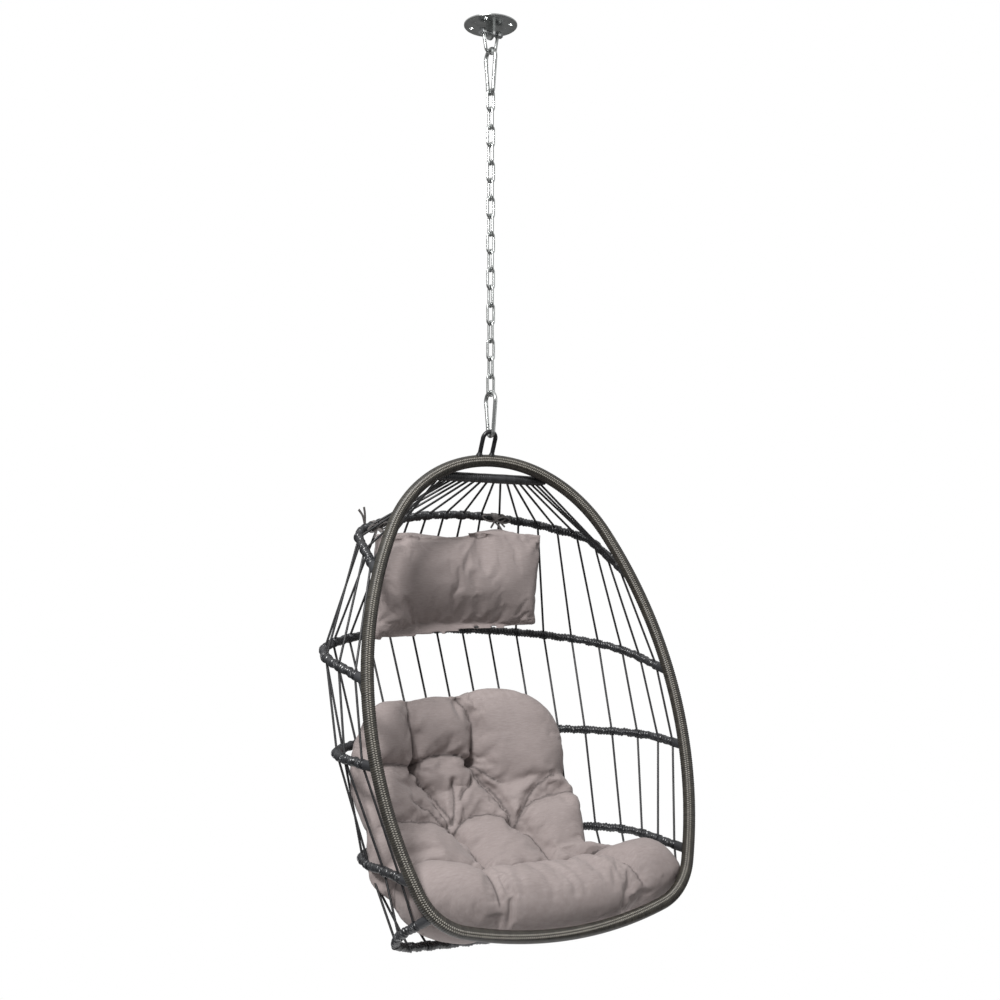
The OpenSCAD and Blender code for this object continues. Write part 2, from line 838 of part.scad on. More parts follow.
module soft_form(rings) {
    count = len(rings);
    points = [for (ring = rings) each ring];
    first = len(points);
    ends = [
        (rings[0][0] + rings[0][2 * tenths]) / 2,
        (rings[count - 1][0] + rings[count - 1][2 * tenths]) / 2
    ];
    faces = [
        for (i = [0:count - 2])
            for (j = [0:ring_points - 1])
                let (
                    a = i * ring_points + j,
                    b = i * ring_points + (j + 1) % ring_points,
                    c = a + ring_points,
                    d = b + ring_points
                )
                each [[a, b, d], [a, d, c]],
        for (j = [0:ring_points - 1])
            [first, (j + 1) % ring_points, j],
        for (j = [0:ring_points - 1])
            let (last = (count - 1) * ring_points)
            [first + 1, last + j, last + (j + 1) % ring_points]
    ];
    polyhedron(concat(points, ends), faces);
}

// Seat cushion: one long pad down the back, over the seat and up into a front roll
seat_steps = 26;
seat_step = seat_length / seat_steps;
seat_start = rim_top + [0, 111.5, -546];
seat_aside = -74.5;
// Share of the thickness that stands in front of the pad's middle line
seat_front = 0.76;
tuft_row_1 = 0.225;
tuft_row_2 = 0.485;
roll_crease = 0.81;
roll_middle = 0.9;

function dip(x, at, wide) = exp(-pow((x - at) / wide, 2));
function ease(x, low, high) = let (t = min(1, max(0, (x - low) / (high - low))))
    t * t * (3 - 2 * t);
// Heading of the pad's middle line: 0 straight down, 90 straight ahead
function seat_heading(f) = 5 + 42 * ease(f, 0.26, 0.42) + 45 * ease(f, 0.62, 0.8);
seat_line = [
    for (i = 0, p = [0, 0]; i <= seat_steps;
        p = p - seat_step * [sin(seat_heading((i + 0.5) / seat_steps)),
            cos(seat_heading((i + 0.5) / seat_steps))],
        i = i + 1) p
];
function seat_half(f) = seat_half_w * (0.78 + 0.22 * ease(f, 0, 0.14))
    + (roll_half_w - seat_half_w) * ease(f, 0.7, 0.88);
// Fullness of the pad: round at its top edge, and giving way to the roll
function pad_full(f) = let (s = f * seat_length)
    seat_t * sqrt(1 - pow(1 - min(1, (s + 6) / 60), 2)) * (1 - 0.25 * ease(f, 0.76, 0.86))
    * (1 - ease(f, 0.86, 0.97));
function roll_full(f) = let (t = abs(f - roll_middle) * seat_length / roll_r)
    t < 1 ? roll_r * sqrt(1 - t * t) : 0;
// Middle between the two columns of tufts, which run askew down the pad
function tuft_line(f) = -72 + 47 * ease(f, tuft_row_1, tuft_row_2);
// How far the front is drawn in by channels and tufts, as a share of the fullness
function seat_drawn(f, x) = let (
        across = max(dip(f, tuft_row_1, 0.035), dip(f, tuft_row_2, 0.035)),
        along = dip(abs(x - tuft_line(f)), tuft_gap / 2, 17) * (1 - ease(f, 0.7, 0.78)),
        crease = dip(f, roll_crease, 0.03)
    )
    min(0.8, 0.26 * across + 0.3 * along + 0.3 * across * along + 0.3 * crease);
function seat_point(i, j) = let (
        f = i / seat_steps,
        place = ring_place(j),
        aside = seat_aside * (1 - ease(f, 0.66, 0.88)),
        across = place * seat_half(f),
        x = across + aside,
        ahead = ring_face(j) > 0,
        curl_r = 350 + 1270 * ease(f, 0.5, 0.88),
        pad = pad_full(f) * (ahead ? seat_front * (1 - seat_drawn(f, x)) : 1 - seat_front),
        full = max(pad, roll_full(f), 0.5) * crown_of(place, 4 + 6 * ease(f, 0.7, 0.86)),
        lift = (ahead ? full : -full) + across * across / 2 / curl_r,
        // the roll's ends bend back inside the rim
        bend = 30 * ease(f, 0.74, 0.88) * pow(min(1, abs(x) / roll_half_w), 4),
        a = seat_heading(f)
    )
    seat_start + [x, seat_line[i][0] - lift * cos(a) + bend, seat_line[i][1] + lift * sin(a)];

module seat_cushion() {
    color(taupe)
        soft_form([
            for (i = [0:seat_steps])
                [for (j = [0:ring_points - 1]) seat_point(i, j)]
        ]);
}

// Head pillow: a plain crowned pillow that curls a little round the back of the head
pillow_steps = 12;
pillow_middle = rim_top + [-47, 118, -262];
pillow_tilt = 8;
pillow_curl_r = 560;
function pillow_point(i, j) = let (
        f = 2 * i / pillow_steps - 1,
        place = ring_place(j),
        // the sides draw in between the corners
        x = place * pillow_w / 2 * (1 - 0.04 * (1 - pow(abs(f), 3))),
        z = f * pillow_h / 2 * (1 - 0.05 * (1 - pow(abs(place), 3))),
        full = pillow_t / 2 * pow(crown_of(place), 0.8) * sqrt(1 - pow(abs(f) * 0.985, 3)),
        lift = -ring_face(j) * full - x * x / 2 / pillow_curl_r
    )
    pillow_middle + [
        x,
        lift * cos(pillow_tilt) - z * sin(pillow_tilt),
        z * cos(pillow_tilt) + lift * sin(pillow_tilt)
    ];

module head_pillow() {
    color(taupe)
        soft_form([
            for (i = [pillow_steps:-1:0])
                [for (j = [0:ring_points - 1]) pillow_point(i, j)]
        ]);
}

// Ties: a band round the first rib at each end of the pillow, and a strap down to it
tie_band_d = rib_d + 4;
tie_places = [-5.5, 1.5];
module pillow_ties() {
    color(taupe)
        for (place = tie_places)
            translate(rib_point(0, place * rope_step(0)))
                along(rib_way(0, place * rope_step(0)))
                    difference() {
                        cylinder(d = tie_band_d, h = 12, center = true);
                        cylinder(d = rib_d + 0.4, h = 20, center = true);
                    }
}

ceiling_plate();
plate_lug();
swing_bolt();
swing_nut();
shackle();
hook_upper();
gate_upper();
gate_rivet_upper();
chain_link(1);  // chain_link_01
chain_link(2);  // chain_link_02
chain_link(3);  // chain_link_03
chain_link(4);  // chain_link_04
chain_link(5);  // chain_link_05
chain_link(6);  // chain_link_06
chain_link(7);  // chain_link_07
chain_link(8);  // chain_link_08
chain_link(9);  // chain_link_09
chain_link(10);  // chain_link_10
chain_link(11);  // chain_link_11
chain_link(12);  // chain_link_12
chain_link(13);  // chain_link_13
chain_link(14);  // chain_link_14
chain_link(15);  // chain_link_15
chain_link(16);  // chain_link_16
chain_link(17);  // chain_link_17
hook_lower();
gate_lower();
gate_rivet_lower();
hanging_loop();
rim_tube();
rim_wicker();
crown_bar();
crown_wrap();
rib(0);  // rib_1
rib(1);  // rib_2
rib(2);  // rib_3
rib(3);  // rib_4
rib(4);  // rib_5
rib_wicker(0);  // rib_wicker_1
rib_wicker(1);  // rib_wicker_2
rib_wicker(2);  // rib_wicker_3
rib_wicker(3);  // rib_wicker_4
rib_wicker(4);  // rib_wicker_5
rib_sockets();
ropes_crown();
rope_span(0);  // ropes_upper
rope_span(1);  // ropes_middle
rope_span(2);  // ropes_lower
rope_span(3);  // ropes_seat
seat_cushion();
head_pillow();
pillow_ties();
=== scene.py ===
import bpy, bmesh, math
import numpy as np
from mathutils import Vector, Matrix, noise


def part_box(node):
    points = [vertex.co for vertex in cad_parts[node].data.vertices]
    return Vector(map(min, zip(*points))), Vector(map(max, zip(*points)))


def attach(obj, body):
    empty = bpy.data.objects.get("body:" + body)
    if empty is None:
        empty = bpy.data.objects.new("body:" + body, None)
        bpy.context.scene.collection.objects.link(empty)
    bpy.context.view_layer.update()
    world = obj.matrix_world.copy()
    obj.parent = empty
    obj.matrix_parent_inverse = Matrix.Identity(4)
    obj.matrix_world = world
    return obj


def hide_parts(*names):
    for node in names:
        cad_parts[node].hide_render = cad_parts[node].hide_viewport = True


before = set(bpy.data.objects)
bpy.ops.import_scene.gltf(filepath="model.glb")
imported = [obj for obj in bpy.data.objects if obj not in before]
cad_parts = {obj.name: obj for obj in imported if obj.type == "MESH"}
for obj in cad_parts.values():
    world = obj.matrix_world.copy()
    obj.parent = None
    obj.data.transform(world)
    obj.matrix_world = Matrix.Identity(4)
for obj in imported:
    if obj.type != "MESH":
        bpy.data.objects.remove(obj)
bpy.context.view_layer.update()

print("frame loaded")

mm = 0.001


def vec(*a):
    return np.array(a, dtype=float)


# ---- where things are: the rim, the ribs and the ropes, as the frame has them ----

rimShape = dict(tube=17, wound=28, lean=17, arch=320, side=935, corner=135, turns=(61, 110, 165))
crownShape = dict(drop=33, length=300, wound=22, ropeStep=14.5)
ribShape = dict(
    wound=18, bare=15, socket=24, ropesEachSide=9, hitch=23,
    drop=(276, 504, 681, 915, 982), tilt=(34, 13, 4, 3, -34), corner=(65, 210, 150, 135, 75),
    bow=(30, 36, 40, 30, 10), armTurn=(84, 94, 98, 93, 115), arm=(140, 135, 100, 170, 70))

low, high = (vec(*c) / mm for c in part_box("rim_tube"))
rimTop = vec((low[0] + high[0]) / 2, high[1] - rimShape["tube"] / 2, high[2] - rimShape["tube"] / 2)
lean = math.radians(rimShape["lean"])
print("rim top", rimTop.round(2))


def onRim(across, down, behind=0.0):
    return rimTop + vec(across, -down * math.sin(lean) + behind * math.cos(lean),
                        -down * math.cos(lean) - behind * math.sin(lean))


def rimOutline():
    # centres and radii of the four arcs of half the rim, in its plane
    a, b, c = (math.radians(t) for t in rimShape["turns"])
    r1, r2, r3 = rimShape["arch"], rimShape["side"], rimShape["corner"]
    r4 = (r1 * math.sin(a) + r2 * (math.sin(b) - math.sin(a))
          + r3 * (math.sin(c) - math.sin(b))) / math.sin(c)
    c1 = vec(0, r1)
    c2 = c1 - (r2 - r1) * vec(math.sin(a), -math.cos(a))
    c3 = c2 + (r2 - r3) * vec(math.sin(b), -math.cos(b))
    c4 = c3 + (r3 - r4) * vec(math.sin(c), -math.cos(c))
    return [(c1, r1, 0, a), (c2, r2, a, b), (c3, r3, b, c), (c4, r4, c, math.pi)]


rimArcs = rimOutline()


def rimHalf(down):
    c, r = (rimArcs[1][0], rimArcs[1][1])
    end = c[1] - r * math.cos(rimArcs[1][3])
    if down >= end:
        c, r = rimArcs[2][0], rimArcs[2][1]
    return c[0] + math.sqrt(r * r - (down - c[1]) ** 2)


def rimPath(step):
    # the whole rim from its top down the +X side and back up, closed
    half = []
    for c, r, t0, t1 in rimArcs:
        n = max(2, round(r * (t1 - t0) / step))
        half += [c + r * vec(math.sin(t), -math.cos(t)) for t in np.linspace(t0, t1, n, endpoint=False)]
    half.append(vec(0, rimArcs[3][0][1] + rimArcs[3][1]))
    left = [vec(-p[0], p[1]) for p in half[-2:0:-1]]
    return np.array([onRim(p[0], p[1]) for p in half + left])


class Rib:
    def __init__(self, k):
        s = ribShape
        self.k, self.drop, self.tilt = k, s["drop"][k], math.radians(s["tilt"][k])
        self.r2, self.arm = s["corner"][k], s["arm"][k]
        self.a, self.b = math.radians(s["bow"][k]), math.radians(s["armTurn"][k])
        a, b = self.a, self.b
        self.r1 = (rimHalf(self.drop) - self.r2 * (math.sin(b) - math.sin(a))
                   - self.arm * math.cos(b)) / math.sin(a)
        self.depth = self.r1 * (1 - math.cos(a)) + self.r2 * (math.cos(a)
                                                              - math.cos(b)) + self.arm * math.sin(b)
        self.bowLength, self.cornerLength = self.r1 * a, self.r2 * (b - a)
        self.half = self.bowLength + self.cornerLength + self.arm
        self.socketEnd = rimShape["wound"] / 2 + s["socket"]
        self.step = (self.half - self.socketEnd - s["hitch"] / 2 - 2) / s["ropesEachSide"]
        self.root = onRim(0, self.drop)

    def flat(self, length):
        bowEnd = vec(self.r1 * math.sin(self.a), self.depth - self.r1 * (1 - math.cos(self.a)))
        centre = bowEnd - self.r2 * vec(math.sin(self.a), math.cos(self.a))
        if length < self.bowLength:
            t = length / self.r1
            return vec(self.r1 * math.sin(t), self.depth - self.r1 * (1 - math.cos(t))), t
        if length < self.bowLength + self.cornerLength:
            t = self.a + (length - self.bowLength) / self.r2
            return centre + self.r2 * vec(math.sin(t), math.cos(t)), t
        t = self.b
        far = length - self.bowLength - self.cornerLength
        return centre + self.r2 * vec(math.sin(t), math.cos(t)) + far * vec(math.cos(t), -math.sin(t)), t

    def at(self, length):
        p, t = self.flat(abs(length))
        return self.root + vec(math.copysign(p[0], length), p[1] * math.cos(self.tilt),
                               p[1] * math.sin(self.tilt))

    def way(self, length):
        p, t = self.flat(abs(length))
        s = -math.copysign(math.sin(t), length)
        return vec(math.cos(t), s * math.cos(self.tilt), s * math.sin(self.tilt))

    def up(self):
        return vec(0, -math.sin(self.tilt), math.cos(self.tilt))

    def path(self, start, end, step):
        n = max(2, int(math.ceil((end - start) / step)))
        lengths = np.linspace(start, end, n + 1)
        return lengths, np.array([self.at(v) for v in lengths]), np.array([self.way(v) for v in lengths])


ribs = [Rib(k) for k in range(5)]


def crownPoint(i):
    return onRim(i * crownShape["ropeStep"], crownShape["drop"],
                 (rimShape["wound"] + crownShape["wound"]) / 2 - 0.5)


# ---- camera, floor and light ----

cameraSet = dict(back=(-1612, -2610, -316), turn=32.0, lens=48.6, shiftY=0.1)


def makeCamera():
    data = bpy.data.cameras.new("camera")
    data.lens, data.sensor_width, data.shift_y = cameraSet["lens"], 36, cameraSet["shiftY"]
    data.clip_end = 60
    cam = bpy.data.objects.new("camera", data)
    bpy.context.scene.collection.objects.link(cam)
    cam.location = Vector((rimTop + vec(*cameraSet["back"])) * mm)
    cam.rotation_euler = (math.radians(90), 0, -math.radians(cameraSet["turn"]))
    bpy.context.scene.camera = cam


makeCamera()

lightSet = dict(sky=0.85, side=0.2, ground=0.08, key=(-2.4, -1.7, 1.0, 150, 0.8),
                fill=(2.6, -2.6, -0.6, 14, 2.4), floor=(-2.46, 0.8))


def makeWorld():
    # white to the eye; for light and reflections brighter above than below
    world = bpy.data.worlds.new("softStudio")
    bpy.context.scene.world = world
    world.use_nodes = True
    t = world.node_tree
    out, seen = t.nodes["World Output"], t.nodes["Background"]
    seen.inputs[0].default_value = (1, 1, 1, 1)
    seen.inputs[1].default_value = 1.0
    lit = t.nodes.new("ShaderNodeBackground")
    where = t.nodes.new("ShaderNodeTexCoord")
    sep = t.nodes.new("ShaderNodeSeparateXYZ")
    t.links.new(where.outputs["Generated"], sep.inputs[0])
    ramp = t.nodes.new("ShaderNodeValToRGB")
    ramp.color_ramp.elements[0].position = 0.0
    ramp.color_ramp.elements[0].color = (*([lightSet["ground"]] * 3), 1)
    ramp.color_ramp.elements[1].position = 1.0
    ramp.color_ramp.elements[1].color = (*([lightSet["sky"]] * 3), 1)
    mid = ramp.color_ramp.elements.new(0.5)
    mid.color = (*([lightSet["side"]] * 3), 1)
    half = t.nodes.new("ShaderNodeMath")
    half.operation = "MULTIPLY_ADD"
    half.inputs[1].default_value, half.inputs[2].default_value = 0.5, 0.5
    t.links.new(sep.outputs[2], half.inputs[0])
    t.links.new(half.outputs[0], ramp.inputs[0])
    t.links.new(ramp.outputs[0], lit.inputs[0])
    path, mix = t.nodes.new("ShaderNodeLightPath"), t.nodes.new("ShaderNodeMixShader")
    t.links.new(path.outputs["Is Camera Ray"], mix.inputs[0])
    t.links.new(lit.outputs[0], mix.inputs[1])
    t.links.new(seen.outputs[0], mix.inputs[2])
    t.links.new(mix.outputs[0], out.inputs[0])
    bpy.context.scene.view_settings.view_transform = "Standard"


def makeLights():
    makeWorld()
    for name in ("key", "fill"):
        x, y, z, power, size = lightSet[name]
        data = bpy.data.lights.new(name, "AREA")
        data.energy, data.size = power, size
        o = bpy.data.objects.new(name, data)
        bpy.context.scene.collection.objects.link(o)
        o.location = (x, y, z)
        aim = Vector((0, 0, -1.5)) - o.location
        o.rotation_euler = aim.to_track_quat("-Z", "Y").to_euler()
    mesh = bpy.data.meshes.new("floor")
    z, r = lightSet["floor"]
    edge = [(r * math.cos(a), r * math.sin(a), z) for a in np.linspace(0, 2 * math.pi, 64, endpoint=False)]
    mesh.from_pydata(edge, [], [tuple(range(64))])
    floor = bpy.data.objects.new("floor", mesh)
    bpy.context.scene.collection.objects.link(floor)
    mat = bpy.data.materials.new("paleFloor")
    mat.use_nodes = True
    b = mat.node_tree.nodes["Principled BSDF"]
    b.inputs["Base Color"].default_value = (0.96, 0.96, 0.96, 1)
    b.inputs["Roughness"].default_value = 0.9
    mesh.materials.append(mat)


makeLights()
print("camera and light made")


# ---- material helpers ----

def newGroup(name, inputs, outputs):
    g = bpy.data.node_groups.new(name, "ShaderNodeTree")
    for n, kind, value in inputs:
        s = g.interface.new_socket(n, in_out="INPUT", socket_type=kind)
        if value is not None:
            s.default_value = value
    for n, kind in outputs:
        g.interface.new_socket(n, in_out="OUTPUT", socket_type=kind)
    return g, g.nodes.new("NodeGroupInput"), g.nodes.new("NodeGroupOutput")


def mathNode(tree, op, a, b=None, clamp=False):
    n = tree.nodes.new("ShaderNodeMath")
    n.operation, n.use_clamp = op, clamp
    for i, v in enumerate((a, b)):
        if v is None:
            continue
        if isinstance(v, (int, float)):
            n.inputs[i].default_value = v
        else:
            tree.links.new(v, n.inputs[i])
    return n.outputs[0]


def mixColour(tree, factor, a, b, blend="MIX"):
    n = tree.nodes.new("ShaderNodeMix")
    n.data_type, n.blend_type = "RGBA", blend
    for key, v in ((0, factor), (6, a), (7, b)):
        if isinstance(v, (int, float)):
            n.inputs[key].default_value = v
        elif isinstance(v, tuple):
            n.inputs[key].default_value = (*v, 1) if len(v) == 3 else v
        else:
            tree.links.new(v, n.inputs[key])
    return n.outputs[2]


def noiseNode(tree, scale, detail=3.0, rough=0.5, vector=None, kind="3D"):
    n = tree.nodes.new("ShaderNodeTexNoise")
    n.noise_dimensions = kind
    n.inputs["Scale"].default_value = scale
    n.inputs["Detail"].default_value = detail
    n.inputs["Roughness"].default_value = rough
    if vector is not None:
        tree.links.new(vector, n.inputs["Vector"])
    return n.outputs["Fac"]


def rampNode(tree, value, *stops):
    n = tree.nodes.new("ShaderNodeMapRange")
    n.inputs["From Min"].default_value, n.inputs["From Max"].default_value = stops[0], stops[1]
    n.inputs["To Min"].default_value, n.inputs["To Max"].default_value = stops[2], stops[3]
    tree.links.new(value, n.inputs["Value"])
    return n.outputs["Result"]


# a slow and a fast patchiness, for colour and gloss that are never quite even
def patchGroup():
    g, gin, gout = newGroup("patches", [("Place", "NodeSocketVector", None), ("Size", "NodeSocketFloat", 8.0),
                                        ("Fine Size", "NodeSocketFloat", 90.0)],
                            [("Slow", "NodeSocketFloat"), ("Fine", "NodeSocketFloat")])
    for size, out, detail in (("Size", "Slow", 3), ("Fine Size", "Fine", 2)):
        n = g.nodes.new("ShaderNodeTexNoise")
        n.inputs["Detail"].default_value = detail
        g.links.new(gin.outputs["Place"], n.inputs["Vector"])
        g.links.new(gin.outputs[size], n.inputs["Scale"])
        g.links.new(n.outputs["Fac"], gout.inputs[out])
    return g


# wound strand: UV x runs along the bar and y round it, both in metres
def strandGroup():
    g, gin, gout = newGroup("woundStrand",
                            [("Pitch", "NodeSocketFloat", 0.005), ("Fibre", "NodeSocketFloat", 0.0006)],
                            [("Turn", "NodeSocketFloat"), ("GrooveShade", "NodeSocketFloat"),
                             ("Fibre", "NodeSocketFloat")])
    uv = g.nodes.new("ShaderNodeUVMap")
    sep = g.nodes.new("ShaderNodeSeparateXYZ")
    g.links.new(uv.outputs[0], sep.inputs[0])
    along = mathNode(g, "DIVIDE", sep.outputs[0], gin.outputs["Pitch"])
    index = mathNode(g, "FLOOR", along)
    white = g.nodes.new("ShaderNodeTexWhiteNoise")
    white.noise_dimensions = "1D"
    g.links.new(index, white.inputs["W"])
    g.links.new(white.outputs["Value"], gout.inputs["Turn"])
    part = mathNode(g, "SUBTRACT", along, index)
    # painted shade mask: 1 at the two edges of each turn, where the turns meet, falling to 0 in its middle
    edge = mathNode(g, "ABSOLUTE", mathNode(g, "SUBTRACT", part, 0.5))
    groove = mathNode(g, "POWER", mathNode(g, "MULTIPLY", edge, 2.0), 5.0)
    g.links.new(groove, gout.inputs["GrooveShade"])
    across = mathNode(g, "DIVIDE", sep.outputs[0], gin.outputs["Fibre"])
    comb = g.nodes.new("ShaderNodeCombineXYZ")
    g.links.new(across, comb.inputs[0])
    g.links.new(mathNode(g, "MULTIPLY", sep.outputs[1], 140.0), comb.inputs[1])
    n = noiseNode(g, 1.0, 2.0, 0.5, comb.outputs[0])
    g.links.new(n, gout.inputs["Fibre"])
    return g


# over-and-under cloth threads on a piece's own weave coordinates, in metres
def weaveGroup():
    g, gin, gout = newGroup("clothWeave",
                            [("Thread", "NodeSocketFloat", 0.0011), ("Slub", "NodeSocketFloat", 60.0)],
                            [("Height", "NodeSocketFloat"), ("Slub", "NodeSocketFloat")])
    att = g.nodes.new("ShaderNodeAttribute")
    att.attribute_name = "weave"
    sep = g.nodes.new("ShaderNodeSeparateXYZ")
    g.links.new(att.outputs["Vector"], sep.inputs[0])
    waves = []
    for i in (0, 1):
        w = mathNode(g, "DIVIDE", sep.outputs[i], gin.outputs["Thread"])
        waves.append(mathNode(g, "SINE", mathNode(g, "MULTIPLY", w, math.pi)))
    over = mathNode(g, "MULTIPLY", waves[0], waves[1])
    height = mathNode(g, "MULTIPLY_ADD", over, 0.5)
    height.node.inputs[2].default_value = 0.5
    g.links.new(height, gout.inputs["Height"])
    stretched = g.nodes.new("ShaderNodeMapping")
    stretched.inputs["Scale"].default_value = (1, 9, 1)
    g.links.new(att.outputs["Vector"], stretched.inputs["Vector"])
    a = g.nodes.new("ShaderNodeTexNoise")
    g.links.new(stretched.outputs[0], a.inputs["Vector"])
    g.links.new(gin.outputs["Slub"], a.inputs["Scale"])
    a.inputs["Detail"].default_value = 3
    g.links.new(a.outputs["Fac"], gout.inputs["Slub"])
    return g


patches, woundStrand, clothWeave = patchGroup(), strandGroup(), weaveGroup()


def startMaterial(name, metallic, roughness, colour):
    m = bpy.data.materials.new(name)
    m.use_nodes = True
    t = m.node_tree
    b = t.nodes["Principled BSDF"]
    b.inputs["Metallic"].default_value = metallic
    b.inputs["Roughness"].default_value = roughness
    b.inputs["Base Color"].default_value = (*colour, 1)
    return m, t, b


def useGroup(t, group, **values):
    n = t.nodes.new("ShaderNodeGroup")
    n.node_tree = group
    for k, v in values.items():
        n.inputs[k].default_value = v
    return n


def bumpInto(t, b, height, strength, distance):
    n = t.nodes.new("ShaderNodeBump")
    n.inputs["Strength"].default_value = strength
    n.inputs["Distance"].default_value = distance
    t.links.new(height, n.inputs["Height"])
    t.links.new(n.outputs[0], b.inputs["Normal"])


def objectPlace(t, group):
    tc = t.nodes.new("ShaderNodeTexCoord")
    t.links.new(tc.outputs["Object"], group.inputs["Place"])
    return tc


def zincMaterial(name, colour=(0.62, 0.63, 0.64), rough=(0.22, 0.42)):
    m, t, b = startMaterial(name, 1.0, 0.3, colour)
    p = useGroup(t, patches, **{"Size": 55.0, "Fine Size": 900.0})
    objectPlace(t, p)
    dull = tuple(c * 0.72 for c in colour)
    t.links.new(mixColour(t, rampNode(t, p.outputs["Slow"], 0.35, 0.7, 0.0, 1.0), colour, dull),
                b.inputs["Base Color"])
    t.links.new(rampNode(t, p.outputs["Slow"], 0.3, 0.7, rough[0], rough[1]), b.inputs["Roughness"])
    bumpInto(t, b, p.outputs["Fine"], 0.12, 0.0002)
    return m


def coatedMaterial(name, colour, rough=(0.32, 0.48), grain=420.0, lift=0.25):
    m, t, b = startMaterial(name, 0.0, 0.4, colour)
    p = useGroup(t, patches, **{"Size": 14.0, "Fine Size": grain})
    objectPlace(t, p)
    light = tuple(min(1, c * 1.5 + 0.004) for c in colour)
    t.links.new(mixColour(t, rampNode(t, p.outputs["Slow"], 0.35, 0.7, 0.0, 1.0), colour, light),
                b.inputs["Base Color"])
    t.links.new(rampNode(t, p.outputs["Slow"], 0.3, 0.7, rough[0], rough[1]), b.inputs["Roughness"])
    b.inputs["Coat Weight"].default_value = 0.15
    b.inputs["Coat Roughness"].default_value = 0.3
    bumpInto(t, b, p.outputs["Fine"], lift, 0.0003)
    return m


def strandMaterial(name, dark, light, groove, pitch, rough=0.5, coat=0.1, fibre=0.0007, lift=0.35):
    m, t, b = startMaterial(name, 0.0, rough, light)
    s = useGroup(t, woundStrand, **{"Pitch": pitch, "Fibre": fibre})
    p = useGroup(t, patches, **{"Size": 9.0, "Fine Size": 260.0})
    objectPlace(t, p)
    each = mixColour(t, s.outputs["Turn"], dark, light)
    slow = mixColour(t, rampNode(t, p.outputs["Slow"], 0.3, 0.7, 0.0, 0.55), each, dark)
    streak = mixColour(t, rampNode(t, s.outputs["Fibre"], 0.45, 0.75, 0.0, 0.45), slow,
                       tuple(min(1, c * 1.5) for c in light))
    # painted shade between turns: at each turn's edges its colour goes most of the way to the groove colour
    t.links.new(mixColour(t, rampNode(t, s.outputs["GrooveShade"], 0.3, 1.0, 0.0, 0.85), streak, groove),
                b.inputs["Base Color"])
    t.links.new(rampNode(t, s.outputs["Fibre"], 0.3, 0.7, rough - 0.1, rough + 0.15), b.inputs["Roughness"])
    b.inputs["Coat Weight"].default_value = coat
    b.inputs["Coat Roughness"].default_value = 0.35
    bumpInto(t, b, s.outputs["Fibre"], lift, 0.0004)
    return m


def clothMaterial(name, colour, shade, light):
    m, t, b = startMaterial(name, 0.0, 0.85, colour)
    w = useGroup(t, clothWeave, **{"Thread": 0.0013, "Slub": 70.0})
    p = useGroup(t, patches, **{"Size": 7.0, "Fine Size": 60.0})
    objectPlace(t, p)
    base = mixColour(t, rampNode(t, w.outputs["Slub"], 0.3, 0.7, 0.0, 1.0), shade, light)
    mixed = mixColour(t, 0.55, base, colour)
    slow = mixColour(t, rampNode(t, p.outputs["Slow"], 0.35, 0.7, 0.0, 0.35), mixed, shade)
    # painted shade: where the weave is low between threads, the cloth is darkened toward 0.7 of the shade
    # colour
    threadGapShade = mixColour(t, rampNode(t, w.outputs["Height"], 0.0, 0.45, 0.35, 0.0), slow,
                      tuple(c * 0.7 for c in shade))
    # painted shade: the cover goes nearly to black along the seat's channels, folds, tufts and roll creases,
    # by the point attribute set in setFoldShade
    foldShade = t.nodes.new("ShaderNodeAttribute")
    foldShade.attribute_name = "foldShade"
    deep = mixColour(t, mathNode(t, "MULTIPLY", foldShade.outputs["Fac"], 0.9, clamp=True), threadGapShade,
                     tuple(c * 0.16 for c in shade))
    t.links.new(deep, b.inputs["Base Color"])
    t.links.new(rampNode(t, p.outputs["Fine"], 0.3, 0.7, 0.78, 0.92), b.inputs["Roughness"])
    b.inputs["Sheen Weight"].default_value = 0.12
    b.inputs["Sheen Roughness"].default_value = 0.4
    h = mathNode(t, "ADD", w.outputs["Height"], mathNode(t, "MULTIPLY", w.outputs["Slub"], 0.8))
    bumpInto(t, b, h, 0.35, 0.0006)
    return m


looks = dict(
    zinc=zincMaterial("brightZinc", (0.70, 0.72, 0.71), (0.16, 0.34)),
    zincDull=zincMaterial("plainZinc", (0.5, 0.51, 0.52), (0.3, 0.5)),
    steel=coatedMaterial("blackCoat", (0.010, 0.010, 0.011)),
    socket=coatedMaterial("blackSocket", (0.020, 0.021, 0.024), (0.38, 0.55)),
    # rim, rib, rope and crown: the third colour, near black, is the painted shade between turns
    rim=strandMaterial("rimWicker", (0.014, 0.012, 0.009), (0.048, 0.043, 0.033), (0.002, 0.002, 0.002),
                       0.0048, 0.4, 0.25),
    runner=strandMaterial("runnerStrand", (0.42, 0.39, 0.33), (0.72, 0.68, 0.60), (0.2, 0.185, 0.16),
                          0.0048, 0.35, 0.3),
    rib=strandMaterial("ribWicker", (0.008, 0.008, 0.009), (0.036, 0.038, 0.043), (0.002, 0.002, 0.002),
                       0.0074, 0.26, 0.5),
    rope=strandMaterial("rope", (0.006, 0.006, 0.007), (0.020, 0.020, 0.022), (0.002, 0.002, 0.002), 0.0042,
                        0.45, 0.2),
    crown=strandMaterial("crownRope", (0.012, 0.012, 0.013), (0.045, 0.046, 0.050), (0.002, 0.002, 0.002),
                         0.0054, 0.36, 0.35),
    cloth=clothMaterial("taupeCloth", (0.335, 0.283, 0.273), (0.255, 0.212, 0.203), (0.400, 0.345, 0.335)),
    tie=clothMaterial("tieTape", (0.16, 0.145, 0.14), (0.10, 0.09, 0.088), (0.22, 0.20, 0.19)),
)
print("materials made")


# ---- mesh helpers ----

